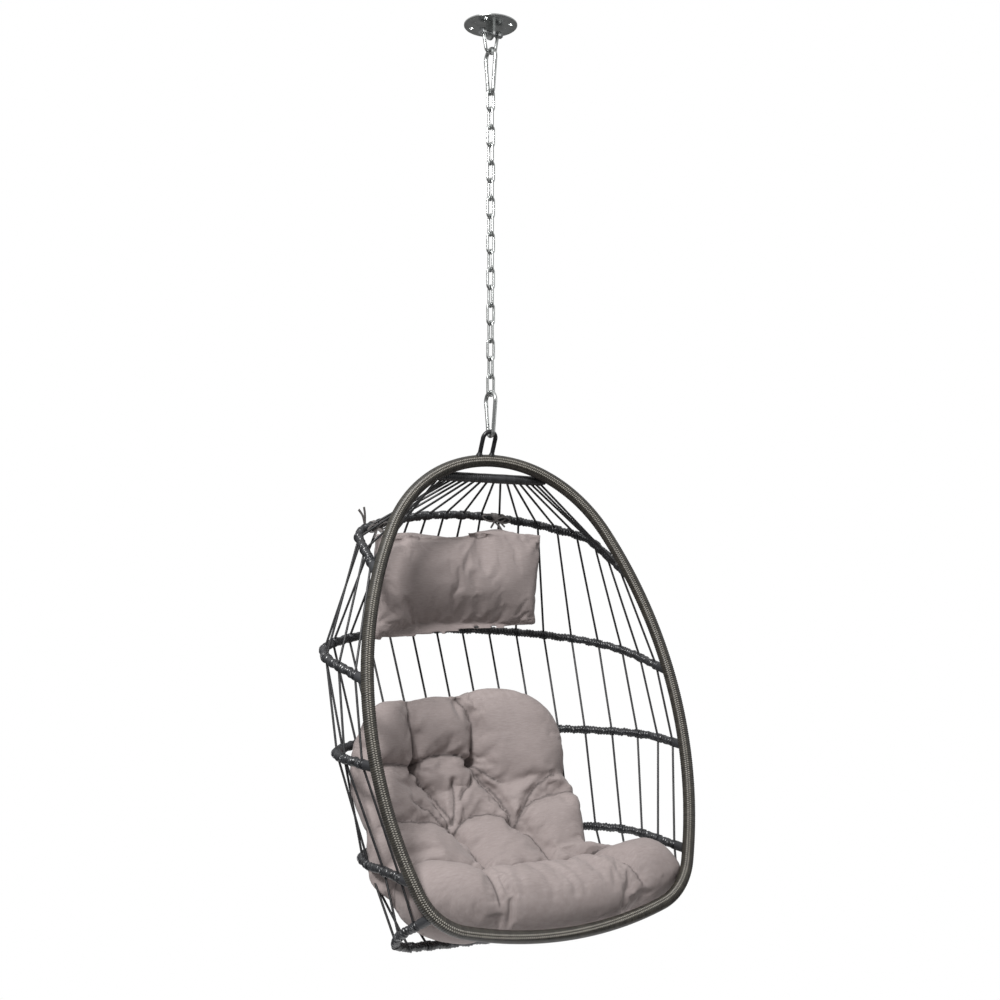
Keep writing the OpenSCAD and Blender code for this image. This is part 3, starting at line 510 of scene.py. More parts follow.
def addMesh(name, verts, faces, material, uv=None, smooth=True):
    mesh = bpy.data.meshes.new(name)
    mesh.from_pydata([tuple(v) for v in np.asarray(verts) * mm], [], faces)
    mesh.materials.append(looks[material])
    if smooth:
        mesh.polygons.foreach_set("use_smooth", [True] * len(mesh.polygons))
    if uv is not None:
        layer = mesh.uv_layers.new(name="UVMap")
        loops = np.empty(len(mesh.loops), dtype=np.int32)
        mesh.loops.foreach_get("vertex_index", loops)
        flat = np.asarray(uv)[loops] * mm
        layer.data.foreach_set("uv", flat.astype(np.float32).ravel())
    mesh.update()
    o = bpy.data.objects.new(name, mesh)
    bpy.context.scene.collection.objects.link(o)
    return o


def frameAlong(points, closed=False, up=None):
    # tangents and a steady pair of side directions along a line of points
    p = np.asarray(points)
    if closed:
        t = np.roll(p, -1, 0) - np.roll(p, 1, 0)
    else:
        t = np.gradient(p, axis=0)
    t /= np.linalg.norm(t, axis=1)[:, None]
    if up is not None:
        u = np.tile(np.asarray(up, dtype=float), (len(p), 1)) if np.ndim(up) == 1 else np.asarray(up)
        s = np.cross(t, u)
        s /= np.linalg.norm(s, axis=1)[:, None]
        return t, s, np.cross(s, t)
    n = np.zeros_like(p)
    first = np.cross(t[0], [0, 0, 1.0])
    if np.linalg.norm(first) < 0.2:
        first = np.cross(t[0], [0, 1.0, 0])
    n[0] = first / np.linalg.norm(first)
    for i in range(1, len(p)):
        v = n[i - 1] - t[i] * (n[i - 1] @ t[i])
        n[i] = v / np.linalg.norm(v)
    return t, n, np.cross(t, n)


def sweepData(points, radius, sides, closed=False, up=None, caps=True, flatten=1.0, startAt=0.0):
    # a bar along points; radius(lengths, angles) gives its radius grid
    p = np.asarray(points, dtype=float)
    t, s, u = frameAlong(p, closed, up)
    step = np.linalg.norm(np.diff(p, axis=0), axis=1)
    lengths = startAt + np.concatenate([[0], np.cumsum(step)])
    angles = np.arange(sides) / sides * 2 * math.pi
    if callable(radius):
        r = radius(lengths[:, None], angles[None, :])
    else:
        r = np.full((len(p), sides), float(radius)) if np.ndim(radius) == 0 else np.repeat(np.asarray(radius)[:, None], sides, 1)
    ring = p[:, None, :] + r[..., None] * (np.cos(angles)[None, :, None] * s[:, None, :]
                                           + flatten * np.sin(angles)[None, :, None] * u[:, None, :])
    verts = ring.reshape(-1, 3)
    mean = float(np.mean(r))
    uv = np.stack([np.repeat(lengths, sides), np.tile(angles * mean, len(p))], 1)
    faces = []
    last = len(p) if closed else len(p) - 1
    for i in range(last):
        a, b = i * sides, ((i + 1) % len(p)) * sides
        for j in range(sides):
            k = (j + 1) % sides
            faces.append((a + j, b + j, b + k, a + k))
    if caps and not closed:
        faces.append(tuple(range(sides)))
        faces.append(tuple(range(len(verts) - 1, len(verts) - 1 - sides, -1)))
    return verts, faces, uv


def joined(parts):
    verts, faces, uvs, at = [], [], [], 0
    for v, f, uv in parts:
        verts.append(v)
        faces += [tuple(i + at for i in face) for face in f]
        uvs.append(uv)
        at += len(v)
    return np.concatenate(verts), faces, np.concatenate(uvs)


def smoothLine(points, count):
    # an even smooth curve through a few points
    p = np.asarray(points, dtype=float)
    p = np.vstack([2 * p[0] - p[1], p, 2 * p[-1] - p[-2]])
    out = []
    per = max(2, count // (len(p) - 3))
    for i in range(1, len(p) - 2):
        for t in np.linspace(0, 1, per, endpoint=False):
            a, b, c, d = p[i - 1], p[i], p[i + 1], p[i + 2]
            out.append(0.5 * ((2 * b) + (c - a) * t + (2 * a - 5 * b + 4 * c - d) * t ** 2
                              + (3 * b - a - 3 * c + d) * t ** 3))
    out.append(p[-2])
    return np.array(out)


# ---- repeats: a model set at each place by Geometry Nodes, turned as the place's "turn" says ----

def repeatTree():
    g = bpy.data.node_groups.new("layOut", "GeometryNodeTree")
    g.interface.new_socket("Geometry", in_out="INPUT", socket_type="NodeSocketGeometry")
    g.interface.new_socket("Model", in_out="INPUT", socket_type="NodeSocketObject")
    g.interface.new_socket("Smallest", in_out="INPUT", socket_type="NodeSocketFloat").default_value = 0.9
    g.interface.new_socket("Largest", in_out="INPUT", socket_type="NodeSocketFloat").default_value = 1.0
    g.interface.new_socket("Seed", in_out="INPUT", socket_type="NodeSocketInt").default_value = 1
    g.interface.new_socket("Material", in_out="INPUT", socket_type="NodeSocketMaterial")
    g.interface.new_socket("Geometry", in_out="OUTPUT", socket_type="NodeSocketGeometry")
    gin, gout = g.nodes.new("NodeGroupInput"), g.nodes.new("NodeGroupOutput")
    info, put = g.nodes.new("GeometryNodeObjectInfo"), g.nodes.new("GeometryNodeInstanceOnPoints")
    turn = g.nodes.new("GeometryNodeInputNamedAttribute")
    turn.data_type = "FLOAT_VECTOR"
    turn.inputs["Name"].default_value = "turn"
    size = g.nodes.new("FunctionNodeRandomValue")
    size.data_type = "FLOAT"
    for name, label in (("Min", "Smallest"), ("Max", "Largest")):
        g.links.new(gin.outputs[label], [k for k in size.inputs if k.name == name and k.type == "VALUE"][0])
    g.links.new(gin.outputs["Seed"], size.inputs["Seed"])
    real, paint = g.nodes.new("GeometryNodeRealizeInstances"), g.nodes.new("GeometryNodeSetMaterial")
    g.links.new(gin.outputs["Geometry"], put.inputs["Points"])
    g.links.new(gin.outputs["Model"], info.inputs["Object"])
    g.links.new(info.outputs["Geometry"], put.inputs["Instance"])
    g.links.new([k for k in turn.outputs if k.type == "VECTOR"][0], put.inputs["Rotation"])
    g.links.new([k for k in size.outputs if k.type == "VALUE"][0], put.inputs["Scale"])
    g.links.new(put.outputs[0], real.inputs[0])
    g.links.new(real.outputs[0], paint.inputs["Geometry"])
    g.links.new(gin.outputs["Material"], paint.inputs["Material"])
    g.links.new(paint.outputs[0], gout.inputs[0])
    return g


layOutTree = repeatTree()


def turned(zAxis, yAxis):
    z = Vector(zAxis).normalized()
    y = Vector(yAxis)
    y = (y - z * y.dot(z)).normalized()
    return Matrix((y.cross(z), y, z)).transposed().to_euler()


def layOut(name, model, places, turns, look, sizes=(0.93, 1.0), seed=7):
    mesh = bpy.data.meshes.new(name + "Places")
    mesh.from_pydata([tuple(p * mm) for p in places], [], [])
    att = mesh.attributes.new("turn", "FLOAT_VECTOR", "POINT")
    att.data.foreach_set("vector", np.array([tuple(e) for e in turns], dtype=np.float32).ravel())
    o = bpy.data.objects.new(name + "Places", mesh)
    bpy.context.scene.collection.objects.link(o)
    mod = o.modifiers.new("layOut", "NODES")
    mod.node_group = layOutTree
    ids = {k.name: k.identifier for k in layOutTree.interface.items_tree if k.in_out == "INPUT"}
    mod[ids["Model"]], mod[ids["Material"]] = model, looks[look]
    mod[ids["Smallest"]], mod[ids["Largest"]] = sizes
    mod[ids["Seed"]] = seed
    made = bpy.data.meshes.new_from_object(o.evaluated_get(bpy.context.evaluated_depsgraph_get()))
    if not made.materials:
        made.materials.append(looks[look])
    out = bpy.data.objects.new(name, made)
    bpy.context.scene.collection.objects.link(out)
    bpy.data.objects.remove(o)
    bpy.data.objects.remove(model)
    return out


# ---- metal: the frame's own nodes with their finishes ----

def dress(names, look):
    for n in names:
        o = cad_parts[n]
        for s in o.material_slots:
            s.material = looks[look]


allNodes = list(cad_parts)
dress([n for n in allNodes if n.startswith(("chain_link", "hook", "gate_upper", "gate_lower", "shackle"))],
      "zinc")
dress([n for n in allNodes if n.startswith(("ceiling_plate", "plate_lug"))], "zinc")
dress([n for n in allNodes if n.startswith(("swing_", "gate_rivet"))], "zincDull")
dress([n for n in allNodes if n.startswith(("hanging_loop", "crown_bar", "rim_tube")) or n in ("rib_1",
    "rib_2", "rib_3", "rib_4", "rib_5")], "steel")
dress(["rib_sockets"], "socket")
dress([n for n in allNodes if n.startswith(("ropes_", "rib_wicker"))], "rope")
dress(["rim_wicker"], "rim")
dress(["crown_wrap"], "crown")
dress(["seat_cushion", "head_pillow"], "cloth")
dress(["pillow_ties"], "tie")
print("metal dressed")


# ---- rim: close turns of wicker over two runner strands ----

rimNormal = vec(0, -math.cos(lean), math.sin(lean))
rimWicker = dict(pitch=4.8, samples=6, sides=30, rise=1.3, spread=0.205, drift=(0.5, 0.15), beadLong=2.05,
                 beadWide=2.75, beadHigh=1.9)


def runnerAngle(across, side):
    # the pair of runners drifts round the tube from one side of the rim to the other
    swing, bias = rimWicker["drift"]
    return math.pi / 2 - swing * np.clip(across / 330, -1, 1) - bias + side * rimWicker["spread"]


def makeRim():
    w = rimWicker
    p = rimPath(w["pitch"] / w["samples"])
    n = len(p)
    wound = rimShape["wound"] / 2

    def radius(lengths, angles):
        turn = lengths / w["pitch"] + angles / (2 * math.pi)
        return wound - 0.1 - w["rise"] + w["rise"] * np.abs(np.sin(math.pi * turn)) ** 0.55

    out = []
    for name, a, b in (("rimWoundRight", 0, n // 2), ("rimWoundLeft", n // 2, n)):
        line = p[a:b + 1] if b < n else np.vstack([p[a:], p[:1]])
        start = float(np.sum(np.linalg.norm(np.diff(p[:a + 1], axis=0), axis=1)))
        v, f, uv = sweepData(line, radius, w["sides"], up=rimNormal, caps=False, startAt=start)
        out.append(addMesh(name, v, f, "rim", uv))
    return out


def beadModel():
    # what shows of a runner between two turns: a small flat pebble
    w = rimWicker
    rings, sides = 3, 8
    verts, faces = [], []
    for t in np.linspace(0, math.pi / 2, rings + 1)[:-1]:
        for a in np.arange(sides) / sides * 2 * math.pi:
            verts.append((w["beadLong"] * math.cos(t) * math.cos(a),
                          w["beadWide"] * math.cos(t) * math.sin(a),
                          w["beadHigh"] * math.sin(t)))
    verts.append((0, 0, w["beadHigh"]))
    for i in range(rings):
        for k in range(sides):
            j = (k + 1) % sides
            if i < rings - 1:
                faces.append((i * sides + k, i * sides + j, (i + 1) * sides + j, (i + 1) * sides + k))
            else:
                faces.append((i * sides + k, i * sides + j, len(verts) - 1))
    faces.append(tuple(range(sides - 1, -1, -1)))
    return addMesh("beadModel", verts, faces, "runner")


def makeBeads():
    w = rimWicker
    p = rimPath(w["pitch"])
    t, s, u = frameAlong(p, True, rimNormal)
    across = p[:, 0] - rimTop[0]
    places, turns = [], []
    for side in (-1, 1):
        a = runnerAngle(across, side)
        out = np.cos(a)[:, None] * s + np.sin(a)[:, None] * u
        for i in range(len(p)):
            places.append(p[i] + out[i] * (rimShape["wound"] / 2 - 0.6) + t[i] * w["pitch"] * 0.25 * side)
            turns.append(turned(out[i], np.cross(out[i], t[i])))
    return layOut("rimRunners", beadModel(), places, turns, "runner", (0.8, 1.0), 11)


rimPieces = makeRim()
for o in rimPieces:
    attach(o, "chair")
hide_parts("rim_wicker")
runners = makeBeads()
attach(runners, "chair")
print("rim wound", len(runners.data.polygons))


# ---- crown bar: black rope laid close ----

crownWrap = dict(pitch=5.4, samples=8, sides=20, rise=1.6)


def makeCrown():
    w = crownWrap
    half = crownShape["length"] / 2 - 8
    n = int(2 * half / (w["pitch"] / w["samples"]))
    behind = (rimShape["wound"] + crownShape["wound"]) / 2 - 0.5
    pts = np.array([onRim(x, crownShape["drop"], behind) for x in np.linspace(-half, half, n)])

    def radius(lengths, angles):
        turn = lengths / w["pitch"] + angles / (2 * math.pi)
        wander = 0.35 * np.sin(lengths / 23.0) + 0.25 * np.sin(lengths / 7.1 + angles)
        return crownShape["wound"] / 2 - w["rise"] + w["rise"] * np.abs(np.sin(math.pi
            * turn)) ** 0.7 + wander * 0.5
    v, f, uv = sweepData(pts, radius, w["sides"], up=vec(0, 0, 1))
    return addMesh("crownWound", v, f, "crown", uv)


crownPiece = makeCrown()
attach(crownPiece, "chair")
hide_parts("crown_wrap")

# ---- ribs: rope wound close and uneven over each bar, hitched where a rope crosses ----

ribWicker = dict(pitch=7.4, samples=8, sides=20, rise=2.0, uneven=1.5, twist=1.0, knot=34, swell=0.9)


def makeRibWound(rib):
    w = ribWicker
    end = rib.half - rib.socketEnd
    lengths, p, t = rib.path(-end, end, w["pitch"] / w["samples"])
    dice = np.random.default_rng(20 + rib.k)
    turns = int(2 * end / w["pitch"]) + 3
    high, slant = dice.random(turns), dice.random(turns)

    def radius(lengths, angles):
        slow = np.sin(lengths / 41.0 + rib.k) + np.sin(lengths / 17.3)
        turn = lengths / w["pitch"] + angles / (2 * math.pi) + 0.16 * slow * np.sin(angles + lengths / 60.0)
        index = np.clip(turn.astype(int), 0, turns - 1)
        cord = np.abs(np.sin(math.pi * turn)) ** 0.7
        cross = np.abs(np.sin(1.5 * (angles - lengths / 19.0 + slant[index]))) ** 3
        return (ribShape["wound"] / 2 - w["rise"] + w["rise"] * cord
                + w["uneven"] * (high[index] - 0.35) * cord
                + w["twist"] * cross + w["swell"] * np.sin(angles - 2 * math.pi * lengths / w["knot"] + slow))
    return sweepData(p, radius, w["sides"], up=rib.up())


for rib in ribs:
    v, f, uv = makeRibWound(rib)
    o = addMesh("ribWound%d" % (rib.k + 1), v, f, "rib", uv)
    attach(o, "chair")
    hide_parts("rib_wicker_%d" % (rib.k + 1))
print("ribs wound")

hitchSet = dict(turns=2.5, pitch=4.2, rope=1.7, sides=7, perTurn=14, crossLong=17, crossTurn=150)


def hitchModel():
    # two and a half close turns of rope and one that crosses them
    h = hitchSet
    r = ribShape["wound"] / 2 + h["rope"] - 1.2
    n = int(h["turns"] * h["perTurn"])
    line = []
    for i in range(n + 1):
        a = i / h["perTurn"] * 2 * math.pi
        line.append((r * math.cos(a), r * math.sin(a), (i / n - 0.5) * h["turns"] * h["pitch"]))
    over = []
    for t in np.linspace(0, 1, 15):
        a = math.radians(h["crossTurn"] * (t - 0.5)) - math.pi / 2
        lift = r + 1.8 * math.sin(math.pi * t)
        over.append((lift * math.cos(a), lift * math.sin(a), (t - 0.5) * h["crossLong"]))
    v, f, uv = joined([sweepData(line, h["rope"], h["sides"]), sweepData(over, h["rope"], h["sides"])])
    return addMesh("hitchModel", v, f, "rib", uv)


def layHitches():
    places, turns = [], []
    n = ribShape["ropesEachSide"]
    for rib in ribs:
        for i in range(-n, n + 1):
            at, way = rib.at(i * rib.step), rib.way(i * rib.step)
            places.append(at)
            turns.append(turned(way, (rimTop - at) * vec(1, 1, 0)))
    return layOut("ropeHitches", hitchModel(), places, turns, "rib", (0.93, 1.0), 7)


hitches = layHitches()
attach(hitches, "chair")
print("hitches laid", len(hitches.data.polygons))

# ---- ropes: three-strand cord, taut from hitch to hitch ----

ropeSet = dict(radius=2.75, lay=17.0, step=2.8, sides=10, groove=0.16)


def ropeSpan(a, b, cutA, cutB):
    a, b = np.asarray(a), np.asarray(b)
    way = (b - a) / np.linalg.norm(b - a)
    a, b = a + way * cutA, b - way * cutB
    n = max(2, int(np.linalg.norm(b - a) / ropeSet["step"]))
    pts = a[None] + (b - a)[None] * np.linspace(0, 1, n + 1)[:, None]

    def radius(lengths, angles):
        g = ropeSet["groove"]
        return ropeSet["radius"] * (1 - g
                                    + g * np.abs(np.cos(1.5 * (angles
                                                               - 2 * math.pi * lengths / ropeSet["lay"]))))
    return sweepData(pts, radius, ropeSet["sides"])


def makeRopes():
    spans = [("ropesCrown", [crownPoint(i) for i in range(-9, 10)],
              [ribs[0].at(i * ribs[0].step) for i in range(-9, 10)], 9, "ropes_crown")]
    for k, name in enumerate(("ropes_upper", "ropes_middle", "ropes_lower", "ropes_seat")):
        top = [ribs[k].at(i * ribs[k].step) for i in range(-9, 10)]
        low = [ribs[k + 1].at(i * ribs[k + 1].step) for i in range(-9, 10)]
        spans.append((name.replace("_s", "S").replace("_u", "U").replace("_m", "M").replace("_l", "L"), top,
                      low, 8.5, name))
    for name, top, low, cut, node in spans:
        v, f, uv = joined([ropeSpan(a, b, cut, 8.5) for a, b in zip(top, low)])
        o = addMesh(name, v, f, "rope", uv)
        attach(o, "chair")
        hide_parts(node)


makeRopes()
print("ropes strung")


# ---- soft pieces ----

def dip(x, at, wide):
    return np.exp(-((x - at) / wide) ** 2)


def ease(x, low, high):
    t = np.clip((x - low) / (high - low), 0, 1)
    return t * t * (3 - 2 * t)


seatPad = dict(start=(0, 111.5, -546), length=674, halfWidth=270, rollHalf=334, rollRadius=65, thick=96,
               front=0.76,
               aside=-74.5, crease=0.81, rollMiddle=0.9, curl=(350, 1270), rollBend=30, flank=0.09,
               puff=0.09, rollPuff=13, rollSag=13,
               voxel=6.8, pressure=4.0, frames=20, cap=24)

# places on the pad are (across, along) from its top middle: tufts, then the channels and folds between them
tufts = dict(highLeft=(-190, 150), highRight=(-32, 150), lowLeft=(-132, 366), lowRight=(28, 366))
channels = [  # points, how deep, how far a lobe takes to rise from it
    ([(-184, -10), (-196, 40), (-186, 95), tufts["highLeft"]], 44, 66),
    ([(-62, -10), (-30, 45), (-26, 95), tufts["highRight"]], 46, 66),
    ([tufts["highLeft"], (-150, 128), (-75, 128), tufts["highRight"]], 32, 46),
    ([tufts["highLeft"], (-160, 258), tufts["lowLeft"]], 36, 56),
    ([tufts["highRight"], (0, 258), tufts["lowRight"]], 41, 60),
    ([tufts["highLeft"], (-238, 138), (-300, 136)], 20, 44),
    ([tufts["highRight"], (16, 196), (30, 230)], 13, 30),
    ([tufts["lowLeft"], (-84, 330), (-24, 326), tufts["lowRight"]], 35, 48),
    ([tufts["lowLeft"], (-186, 342), (-230, 350), (-300, 356)], 32, 48),
    ([tufts["lowRight"], (62, 328), (120, 318), (200, 326)], 35, 50),
    ([tufts["lowLeft"], (-112, 410), (-104, 460), (-110, 545)], 39, 56),
    ([tufts["lowRight"], (52, 410), (62, 460), (60, 545)], 39, 56)]
folds = [  # narrow folds: points, how deep, how wide
    ([(-98, 184), (-100, 262), (-124, 340)], 9, 7), ([(-34, 176), (-64, 250), (-92, 292)], 8, 7),
    ([(-180, 172), (-150, 262), (-126, 340)], 5, 6), ([(-18, 176), (10, 262), (26, 338)], 5, 6),
    ([(40, 352), (86, 300), (140, 282)], 5, 7), ([(-150, 350), (-190, 318), (-232, 312)], 5, 7)]
rollCreases = [(-162, 0, 24, 56), (138, 66, 27, 58)]  # across, its lean round the roll, depth, rise


def seatHeading(f):
    return np.radians(5 + 42 * ease(f, 0.26, 0.42) + 45 * ease(f, 0.62, 0.8))


def seatAside(f):
    return seatPad["aside"] * (1 - ease(f, 0.66, 0.88))


def seatLine(steps):
    f = (np.arange(steps) + 0.5) / steps
    a = seatHeading(f)
    d = seatPad["length"] / steps
    return np.vstack([[0, 0], np.cumsum(np.stack([-np.sin(a) * d, -np.cos(a) * d], 1), 0)])


def crownOf(place, power=4.0):
    return np.sqrt(np.clip(1 - np.abs(place) ** power, 0, 1))


def awayFrom(points, x, s):
    # distance of places (x, s) from a bent line
    best = np.full(np.shape(x), 1e9)
    for (x0, s0), (x1, s1) in zip(points[:-1], points[1:]):
        dx, ds = x1 - x0, s1 - s0
        t = np.clip(((x - x0) * dx + (s - s0) * ds) / (dx * dx + ds * ds), 0, 1)
        best = np.minimum(best, np.hypot(x - x0 - t * dx, s - s0 - t * ds))
    return best


def rounded(points):
    return [tuple(q) for q in smoothLine(points, 4 * (len(points) - 1))]


def lobes(x, s):
    # how far the cover is drawn in from its full puff: round lobes that meet in sharp channels
    drawn = np.zeros(np.shape(x))
    for points, deep, rise in channelLines:
        t = np.minimum(awayFrom(points, x, s) / rise, 1)
        drawn = np.maximum(drawn, deep * (1 - np.sqrt(1 - (1 - t) ** 2)))
    for tx, ts in tufts.values():
        d = np.hypot(x - tx, s - ts)
        drawn = drawn + 24 * np.exp(-(d / 19) ** 2)
    t = np.minimum(np.abs(s - seatPad["crease"] * seatPad["length"]) / 60, 1)
    return np.maximum(drawn, 42 * (1 - np.sqrt(1 - (1 - t) ** 2)))


def rollLobes(x, f):
    drawn = np.zeros(np.shape(x))
    for at, leanOver, deep, rise in rollCreases:
        t = np.minimum(np.abs(x - at - leanOver * np.clip((f - 0.86) / 0.13, 0, 1)) / rise, 1)
        drawn = np.maximum(drawn, deep * (1 - np.sqrt(1 - (1 - t) ** 2)))
    return drawn


channelLines = [(rounded(points), deep, rise) for points, deep, rise in channels]


def seatForm(steps=134, tenths=54, shrink=3.0):
    q = seatPad
    line = seatLine(steps)
    places = np.array([(j - tenths) / tenths if j <= 2 * tenths else (3 * tenths - j)
                       / tenths for j in range(4 * tenths)])
    ahead = np.arange(4 * tenths) <= 2 * tenths
    verts = []
    for i in range(steps + 1):
        f = i / steps
        a = float(seatHeading(f))
        s = f * q["length"]
        shoulder = math.sqrt(1 - (1 - min(1, f / 0.2)) ** 2)
        half = q["halfWidth"] * (0.66 + 0.34 * shoulder) + (q["rollHalf"] - q["halfWidth"]) * ease(f, 0.7,
            0.88) - shrink
        pad = q["thick"] * math.sqrt(max(0, 1 - (1 - min(1, (s + 6) / 60)) ** 2)) * (1
            - 0.25 * ease(f, 0.76, 0.86)) * (1 - ease(f, 0.86, 0.97))
        t = abs(f - q["rollMiddle"]) * q["length"] / q["rollRadius"]
        roll = (q["rollRadius"] + q["rollPuff"]) * math.sqrt(1 - t * t) if t < 1 else 0
        across = places * half * np.where(places < 0,
                                          1 + q["flank"] * ease(f, 0.05, 0.3) * (1 - ease(f, 0.78, 0.9)), 1)
        x = across + seatAside(f)
        curl = q["curl"][0] + q["curl"][1] * ease(f, 0.5, 0.88)
        tuftSide = pad * (q["front"] + q["puff"]) - lobes(x, np.full(len(x), s)) * min(1, s / 40)
        padHigh = np.where(ahead, np.maximum(tuftSide, 4), pad * (1 - q["front"]))
        full = np.maximum(np.maximum(padHigh, roll - rollLobes(x, f) * (roll > 0)), 0.5)
        full = np.maximum(full * crownOf(places, 4 + 6 * ease(f, 0.7, 0.86)) - shrink, 0.5)
        lift = np.where(ahead, full, -full) + across ** 2 / 2 / curl
        bend = q["rollBend"] * ease(f, 0.74, 0.88) * np.minimum(1, np.abs(x) / q["rollHalf"]) ** 4
        top = (1 - ease(f, 0, 0.16)) * (16 * dip(x, 40, 75) + 2 * dip(x, -120, 40) - 13 * dip(x, -190, 16)
                                        - 14 * dip(x, -62, 16))
        y = line[i][0] - lift * math.cos(a) + bend
        z = line[i][1] + lift * math.sin(a) + top - q["rollSag"] * ease(f, 0.78, 0.9) * np.where(ahead, 0.3,
            1)
        verts.append(rimTop + vec(*q["start"]) + np.stack([x, y, z], 1))
    return tubeMesh(verts, 2 * tenths)


def tubeMesh(rings, opposite):
    # rings of points joined in turn, each end closed about the middle of its ring
    n = len(rings[0])
    faces = []
    for i in range(len(rings) - 1):
        for j in range(n):
            k = (j + 1) % n
            faces.append((i * n + j, i * n + k, (i + 1) * n + k, (i + 1) * n + j))
    verts = np.concatenate(rings)
    for base in (0, (len(rings) - 1) * n):
        middle = len(verts)
        verts = np.vstack([verts, (verts[base] + verts[base + opposite]) / 2])
        faces += [(middle, base + j, base + (j + 1) % n) for j in range(n)]
    return verts, faces


def puff(o, settings, pins):
    # remesh, blow up as cloth, keep every point near where it was cut
    bpy.context.view_layer.objects.active = o
    mod = o.modifiers.new("even", "REMESH")
    mod.mode, mod.voxel_size, mod.use_smooth_shade = "VOXEL", settings["voxel"] * mm, True
    deps = bpy.context.evaluated_depsgraph_get()
    mesh = bpy.data.meshes.new_from_object(o.evaluated_get(deps))
    o.modifiers.remove(mod)
    o.data = mesh
    if not mesh.materials:
        mesh.materials.append(looks["cloth"])
    n = len(mesh.vertices)
    start = np.empty(n * 3)
    mesh.vertices.foreach_get("co", start)
    start = start.reshape(-1, 3)
    weight = pins(start / mm)
    group = o.vertex_groups.new(name="held")
    for i in np.nonzero(weight > 0.01)[0]:
        group.add([int(i)], float(weight[i]), "REPLACE")
    c = o.modifiers.new("cloth", "CLOTH")
    s = c.settings
    s.quality = 5
    s.mass = 0.3
    s.tension_stiffness = s.compression_stiffness = 12
    s.shear_stiffness = 5
    s.bending_stiffness = 0.3
    s.use_pressure = True
    s.uniform_pressure_force = settings["pressure"]
    s.shrink_min = s.shrink_max = -0.035
    s.vertex_group_mass = "held"
    s.effector_weights.gravity = 0
    c.collision_settings.use_collision = False
    c.collision_settings.use_self_collision = False
    c.point_cache.frame_start, c.point_cache.frame_end = 1, settings["frames"]
    for fr in range(1, settings["frames"] + 1):
        bpy.context.scene.frame_set(fr)
    deps = bpy.context.evaluated_depsgraph_get()
    moved = bpy.data.meshes.new_from_object(o.evaluated_get(deps))
    end = np.empty(n * 3)
    moved.vertices.foreach_get("co", end)
    end = end.reshape(-1, 3)
    o.modifiers.remove(c)
    bpy.context.scene.frame_set(1)
    d = end - start
    far = np.linalg.norm(d, axis=1)
    limit = settings["cap"] * mm
    keep = np.where(far > limit, limit / np.maximum(far, 1e-9), 1.0)
    end = start + d * keep[:, None]
    mesh.vertices.foreach_set("co", end.ravel())
    print("  puffed", o.name, n, "points, moved up to %.1f mm" % (far.max() * 1000))
    mesh.update()
    return o


def setWeave(o, place):
    mesh = o.data
    n = len(mesh.vertices)
    co = np.empty(n * 3)
    mesh.vertices.foreach_get("co", co)
    w = place(co.reshape(-1, 3) / mm) * mm
    if "weave" in mesh.attributes:
        mesh.attributes.remove(mesh.attributes["weave"])
    att = mesh.attributes.new("weave", "FLOAT_VECTOR", "POINT")
    att.data.foreach_set("vector", w.astype(np.float32).ravel())


def setFoldShade(o, share):
    # painted shade: 1 in the bottom of a channel or a fold, where no light gets in, and 0 on the open cover;
    # the cloth is darkened nearly to black by it
    mesh = o.data
    co = np.empty(len(mesh.vertices) * 3)
    mesh.vertices.foreach_get("co", co)
    att = mesh.attributes.new("foldShade", "FLOAT", "POINT")
    att.data.foreach_set("value", share(co.reshape(-1, 3) / mm).astype(np.float32))


seatLinePoints = seatLine(200)


def seatPlace(p):
    # nearest place on the pad's middle line: (across, along, off it)
    q = p - rimTop - vec(*seatPad["start"])
    line = seatLinePoints
    out = np.empty_like(q)
    bend = seatPad["rollBend"] * np.minimum(1, np.abs(q[:, 0]) / seatPad["rollHalf"]) ** 4
    q[:, 1] -= bend * ease(-q[:, 2], 440, 520)
    for a in range(0, len(q), 4000):
        part = q[a:a + 4000]
        d = (part[:, 1:2] - line[None, :, 0]) ** 2 + (part[:, 2:3] - line[None, :, 1]) ** 2
        i = np.argmin(d, axis=1)
        h = seatHeading(i / 200)
        off = -(part[:, 1] - line[i, 0]) * np.cos(h) + (part[:, 2] - line[i, 1]) * np.sin(h)
        out[a:a + 4000] = np.stack([part[:, 0], i / 200 * seatPad["length"], off], 1)
    return out


def seatPins(p):
    # held where it is tufted or channelled, along the creases on the roll, and where it rests
    place = seatPlace(p)
    x, s, f = place[:, 0], place[:, 1], place[:, 1] / seatPad["length"]
    w = np.zeros(len(p))
    for tx, ts in tufts.values():
        w = np.maximum(w, np.exp(-(np.hypot(x - tx, s - ts) / 16) ** 2))
    for points, deep, rise in channelLines:
        w = np.maximum(w, 0.85 * np.exp(-(awayFrom(points, x, s) / 9) ** 2))
    for at, leanOver, deep, rise in rollCreases:
        off = x - at - leanOver * np.clip((f - 0.86) / 0.13, 0, 1)
        w = np.maximum(w, 0.8 * np.exp(-(off / 9) ** 2) * (f > 0.8))
    return np.clip(np.maximum(w, 0.9 * (place[:, 2] < 0) * (f < 0.8)), 0, 1)


